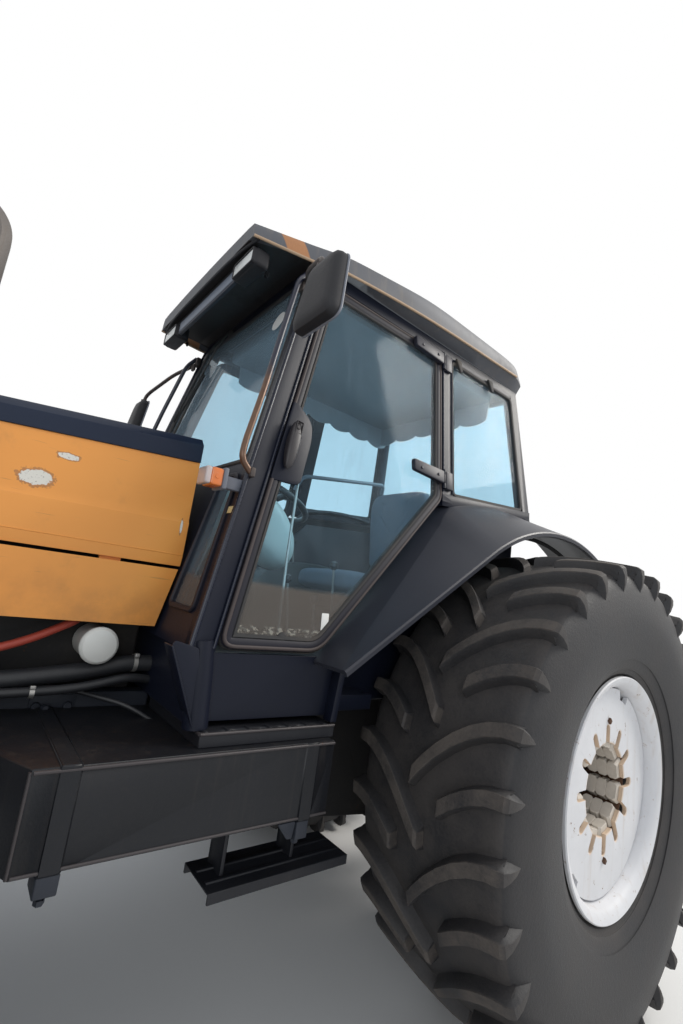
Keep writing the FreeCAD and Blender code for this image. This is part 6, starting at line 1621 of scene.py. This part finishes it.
class TRACTOR_OT_cabin(bpy.types.Operator):
    """Seat pads, steering wheel and column, dash, consoles with levers, floor mat and headliner"""
    bl_idname = "tractor.cabin"
    bl_label = "Cabin"

    def execute(self, context):
        self.seat()
        self.wheel()
        self.dash()
        self.lining()
        return {"FINISHED"}

    def seat(self):
        fabric = seat_cloth()
        # Columns: piece, half sizes, crown, lean back in degrees, middle
        for name, half, crown, lean, place in (
                ("seat_cushion", (0.25, 0.24, 0.052), 0.22, 3.0, (0.485, 0.0, 1.545)),
                ("seat_backrest", (0.262, 0.225, 0.055), 0.25, 83.0, (0.205, 0.0, 1.845))):
            parts = shifted(swung(pad(half, crown, (-0.42, 0.42)), Y, -lean), place)
            cover = piece(name, parts, fabric, sharp=60)
            smooth_faces = cover.modifiers.new("Smooth", "SUBSURF")
            smooth_faces.levels = smooth_faces.render_levels = 1
        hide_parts("seat")
        base = plate(((0.262, FLOOR_Z), (0.64, FLOOR_Z), (0.6, 1.49), (0.31, 1.49)), 0.03, 4, Y, -0.17, 0.34,
                     0.012)
        bellows = soft_boxes([((0.285, -0.185, 1.205 + 0.052 * k), (0.625, 0.185, 1.24 + 0.052 * k))
                              for k in range(5)], 0.014, 3)
        frame_parts = soft_box((0.245, -0.235, 1.478), (0.715, 0.235, 1.5), 0.008)
        frame_parts += plate(((0.235, 1.5), (0.262, 1.5), (0.178, 2.08), (0.15, 2.08)), 0.01, 3,
                             Y, -0.205, 0.41, 0.008)
        piece("seat_base", base + bellows + frame_parts, "trim_rubber")

    def wheel(self):
        hub = np.array((1.098, 0.0, 1.872))
        along = unit(np.array((0.94, 0.0, 0.342)))
        post = unit(np.array((-0.342, 0.0, 0.94)))
        turn = np.linspace(0, 2 * math.pi, 72, endpoint=False)[:, None]
        rim = hub + 0.199 * (np.cos(turn) * along + np.sin(turn) * Y)
        parts = tube(rim, 0.0145, 14, True)
        for angle in (math.pi / 2, math.pi * 7 / 6, math.pi * 11 / 6):
            end = hub + 0.19 * (math.cos(angle) * along + math.sin(angle) * Y)
            parts += tube((hub - post * 0.02, (hub + end) / 2 - post * 0.012, end), (0.013, 0.011, 0.009), 12,
                          flat=1.5)
        parts += turned(((-0.045, 0.0), (-0.045, 0.03), (-0.01, 0.045), (0.012, 0.04), (0.02, 0.0)), hub, 32,
                        post)
        column = tube(((1.338, 0.0, 1.165), (1.23, 0.0, 1.5), (1.118, 0.0, 1.838)), (0.05, 0.044, 0.034), 20)
        lever = tube((hub - post * 0.08, hub - post * 0.07 + Y * 0.14 + X * 0.02), (0.005, 0.007), 10)
        piece("steering_wheel", parts, "wheel_black", replaces=("steering_column",))
        piece("steering_post", column + lever, "trim_rubber")

    def dash(self):
        outline = smooth(((1.555, 1.3), (1.4, 1.42), (1.312, 1.64), (1.326, 1.745), (1.385, 1.795),
                          (1.455, 1.8), (1.495, 1.6)), 6, True)
        lobes = slab(level(outline, Y, 0.066), Y, 0.31, 0.045)
        pair("dash_cowl", lobes, "dash_plastic", replaces=("dash_console",))
        seams = []
        for y in (0.15, 0.3):
            seams += tube(level(outline[8:34] + (-0.001, 0.001), Y, y), 0.003, 6)
        pair("dash_seams", seams, "trim_rubber")
        turn = np.linspace(0, 2 * math.pi, 48, endpoint=False)[None]
        rows = np.linspace(-math.pi / 2, math.pi / 2, 25)[:, None]
        out = np.cos(rows) ** 0.45
        lobe = grid(1.262 + 0.125 * out * np.cos(turn) + 0.07 * np.sin(turn) * out, 0.29
                    + 0.105 * np.sin(rows), 1.695 + 0.15 * out * np.sin(turn))
        piece("dash_lobe", [sheet(lobe, False, True)], "dash_plastic")
        piece("dash_lobe_seam", tube(lobe[12], 0.003, 6, True), "trim_rubber")
        cluster = plate(((1.29, 1.7), (1.33, 1.84), (1.44, 1.842), (1.455, 1.7)), 0.03, 5, Y, -0.15, 0.3,
                        0.014)
        piece("dash_cluster", cluster, "trim_rubber")
        outline = smooth(((0.3, 1.18), (0.285, 1.54), (0.345, 1.625), (0.64, 1.634), (0.85, 1.555),
                          (0.892, 1.44), (0.876, 1.18)), 5, True)
        piece("side_console", slab(level(outline, Y, -0.47), Y, 0.14, 0.018), "console_grey")
        levers = []
        knobs = []
        # Columns: foot (x, y, z), top (x, y, z)
        for foot, top in (((0.76, -0.4, 1.59), (0.8, -0.395, 1.76)),
                          ((0.69, -0.37, 1.615), (0.715, -0.365, 1.77)),
                          ((0.62, -0.43, 1.63), (0.64, -0.43, 1.75)),
                          ((1.0, 0.23, 1.165), (1.05, 0.215, 1.52)),
                          ((0.93, 0.3, 1.165), (0.95, 0.285, 1.45)),
                          ((1.15, -0.22, 1.165), (1.18, -0.2, 1.56)),
                          ((0.86, 0.33, 1.165), (0.9, 0.32, 1.6))):
            levers += tube((foot, top), (0.006, 0.005), 8)
            knobs += turned(((-0.016, 0.0), (-0.014, 0.01), (0.0, 0.018), (0.016, 0.016), (0.024, 0.0)), top,
                            18, Z)
        piece("levers", levers, "zinc")
        piece("lever_knobs", knobs, "wheel_black")
        boxes = soft_boxes((((0.96, -0.56, 1.165), (1.24, -0.42, 1.4)),
                            ((0.3, 0.3, 1.165), (0.72, 0.45, 1.33)),
                            ((0.24, -0.15, 1.165), (0.33, 0.15, 1.32)),
                            ((1.02, 0.38, 1.165), (1.26, 0.56, 1.27))), 0.014, 3)
        piece("cab_boxes", boxes, "console_grey")
        mat = level(((0.2, -0.5), (1.52, -0.5), (1.52, 0.5), (0.2, 0.5)), Z, FLOOR_Z)
        piece("floor_mat", slab(mat, Z, 0.006, 0.002), "mat_black")

    def lining(self):
        """Headliner skirt: thin shells that hang from the roof lining on the right and at the rear. Their
        lower edges are scalloped by the size of a sine to the 0.6."""
        top = 2.655
        fall = np.linspace(0, 1, 12)[:, None]
        x = np.linspace(0.06, 1.16, 111)
        low = 2.5 + 0.03 * (x - 0.06) - 0.022 * np.abs(np.sin((x - 0.06) * math.pi / 0.158)) ** 0.6
        y = -LINING_HALF + 0.03 * fall + 0.004 * np.sin(x * 37)[None] * fall
        parts = self.curtain(grid(x, y, top * (1 - fall) + low * fall), (0, 0.006, 0))
        y = np.linspace(-0.425, 0.425, 86)
        low = 2.52 - 0.022 * np.abs(np.sin((y + 0.425) * math.pi / 0.17)) ** 0.6
        parts += self.curtain(grid(0.07 + 0.02 * fall, y, top * (1 - fall) + low * fall), (0.006, 0, 0))
        piece("headliner_skirt", parts, "liner_grey")
        bar = bent(((0.66, -0.47, 2.06), (0.64, -0.44, 2.15), (-0.02, -0.44, 2.26), (-0.04, -0.47, 2.2)),
                   0.05, 6)
        piece("inner_bar", tube(bar, 0.012, 14), "bar_grey")

    def curtain(self, outer, thick):
        """A sheet with thickness."""
        shell = np.concatenate([outer, (outer + thick)[::-1]])
        return [sheet(shell, True, False), cap(shell[:, 0]), cap(shell[:, -1])]


# Boxes and steps

class TRACTOR_OT_boxes(bpy.types.Operator):
    """Bolts, brackets and edge folds on the side boxes and the platform"""
    bl_idname = "tractor.boxes"
    bl_label = "Boxes and steps"

    def execute(self, context):
        brackets = soft_boxes((((1.196, 0.69, 0.8), (1.236, 0.752, 0.848)),
                               ((1.826, 0.69, 0.806), (1.872, 0.752, 0.848))))
        brackets += plate(((1.24, 0.85), (1.3, 0.85), (1.262, 0.806), (1.246, 0.806)), 0.006, 4, Y, 0.744,
                          0.006, 0.002)
        for x in (1.216, 1.85):
            brackets += tube(((x, 0.722, 0.78), (x, 0.722, 0.812)), 0.006, 12)
            brackets += bolt((x, 0.722, 0.792), -Z, 0.022, 0.012)
        brackets += bolt((1.85, 0.33, 1.0625), Z, 0.024, 0.01)
        pair("strap_brackets", brackets, "chassis_blue")
        folds = tube(np.linspace((1.137, 0.7505, 1.0505), (1.918, 0.7505, 1.0505), 12), 0.0045, 10)
        folds += tube(np.linspace((1.137, 0.7495, 0.857), (1.918, 0.7495, 0.857), 12), 0.004, 10)
        folds += tube(np.linspace((1.924, 0.7485, 0.855), (1.924, 0.7485, 1.053), 8), 0.0035, 10)
        pair("box_folds", folds, "fold_edge")
        rolled = tube(np.linspace((1.124, 0.721, 1.092), (1.56, 0.721, 1.092), 12), 0.0045, 10)
        rolled += tube(np.linspace((1.56, 0.33, 1.092), (1.56, 0.72, 1.092), 8), 0.004, 10)
        pair("platform_edges", rolled, "fold_edge")
        return {"FINISHED"}


# Finishes of the nodes that keep their own shape

# Columns: node, finish, width of the rounded edges
PLAIN = (("transmission", "engine_iron", 0.012), ("engine_block", "engine_iron", 0.012),
         ("front_frame", "chassis_blue", 0.006), ("front_axle", "chassis_blue", 0.01),
         ("knuckle_left", "chassis_blue", 0.006), ("knuckle_right", "chassis_blue", 0.006),
         ("hood_top", "hood_navy", 0.012), ("grille", "hood_navy", 0.003), ("radiator", "trim_rubber", 0.003),
         ("exhaust_stack", "exhaust_steel", 0.002), ("side_boxes", "tank_black", 0.008),
         ("steps", "box_black", 0.004), ("cab_floor", "cab_grey", 0.004), ("cab_frame", "cab_grey", 0.004),
         ("lower_links", "hitch_steel", 0.003), ("lift_arms", "hitch_steel", 0.003),
         ("lift_rods", "hitch_steel", 0.003), ("drawbar", "hitch_steel", 0.004),
         ("hitch_bracket", "hitch_steel", 0.003),)


class TRACTOR_OT_plain_nodes(bpy.types.Operator):
    """Rounded edges and a worn finish for every node that keeps its own shape"""
    bl_idname = "tractor.plain_nodes"
    bl_label = "Plain nodes"

    def execute(self, context):
        for node, finish, width in PLAIN:
            softened(node, finish, width)
        softened("hood_side_panels", hood_paint(), 0.004)
        return {"FINISHED"}


class TRACTOR_OT_glass(bpy.types.Operator):
    """Windows of thin tinted glass"""
    bl_idname = "tractor.glass"
    bl_label = "Glass"

    def execute(self, context):
        glass = window_glass()
        for node in ("door_glass_left", "door_glass_right", "fixed_glass"):
            frame["nodes"][node].data.materials.clear()
            frame["nodes"][node].data.materials.append(glass)
        return {"FINISHED"}


class TRACTOR_PT_panel(bpy.types.Panel):
    """Buttons, sizes and colours of the tractor's pieces"""
    bl_idname = "TRACTOR_PT_panel"
    bl_label = "Farm Tractor"
    bl_space_type = "VIEW_3D"
    bl_region_type = "UI"
    bl_category = "Tractor"

    def draw(self, context):
        layout = self.layout
        for step in STEPS:
            layout.operator(step.bl_idname)
        for name, kind in GROUPS.items():
            column = layout.column()
            for key in kind.__annotations__:
                column.prop(getattr(context.scene, name), key)


STEPS = (TRACTOR_OT_stage, TRACTOR_OT_tyres, TRACTOR_OT_rims, TRACTOR_OT_doors, TRACTOR_OT_cab_trim,
         TRACTOR_OT_fenders, TRACTOR_OT_engine_side, TRACTOR_OT_roof, TRACTOR_OT_lamps, TRACTOR_OT_mirrors,
         TRACTOR_OT_wipers, TRACTOR_OT_cabin, TRACTOR_OT_boxes, TRACTOR_OT_plain_nodes, TRACTOR_OT_glass)
GROUPS = {"tractor_stage": StageSizes, "tractor_tyres": TyreSizes, "tractor_paints": PaintColours}


def register():
    for kind in (*GROUPS.values(), *STEPS, TRACTOR_PT_panel):
        bpy.utils.register_class(kind)
    for name, kind in GROUPS.items():
        setattr(bpy.types.Scene, name, PointerProperty(type=kind))


def unregister():
    for name in GROUPS:
        delattr(bpy.types.Scene, name)
    for kind in reversed((*GROUPS.values(), *STEPS, TRACTOR_PT_panel)):
        bpy.utils.unregister_class(kind)


def main():
    register()
    for step in STEPS:
        group, name = step.bl_idname.split(".")
        getattr(getattr(bpy.ops, group), name)()


if __name__ == "__main__":
    main()
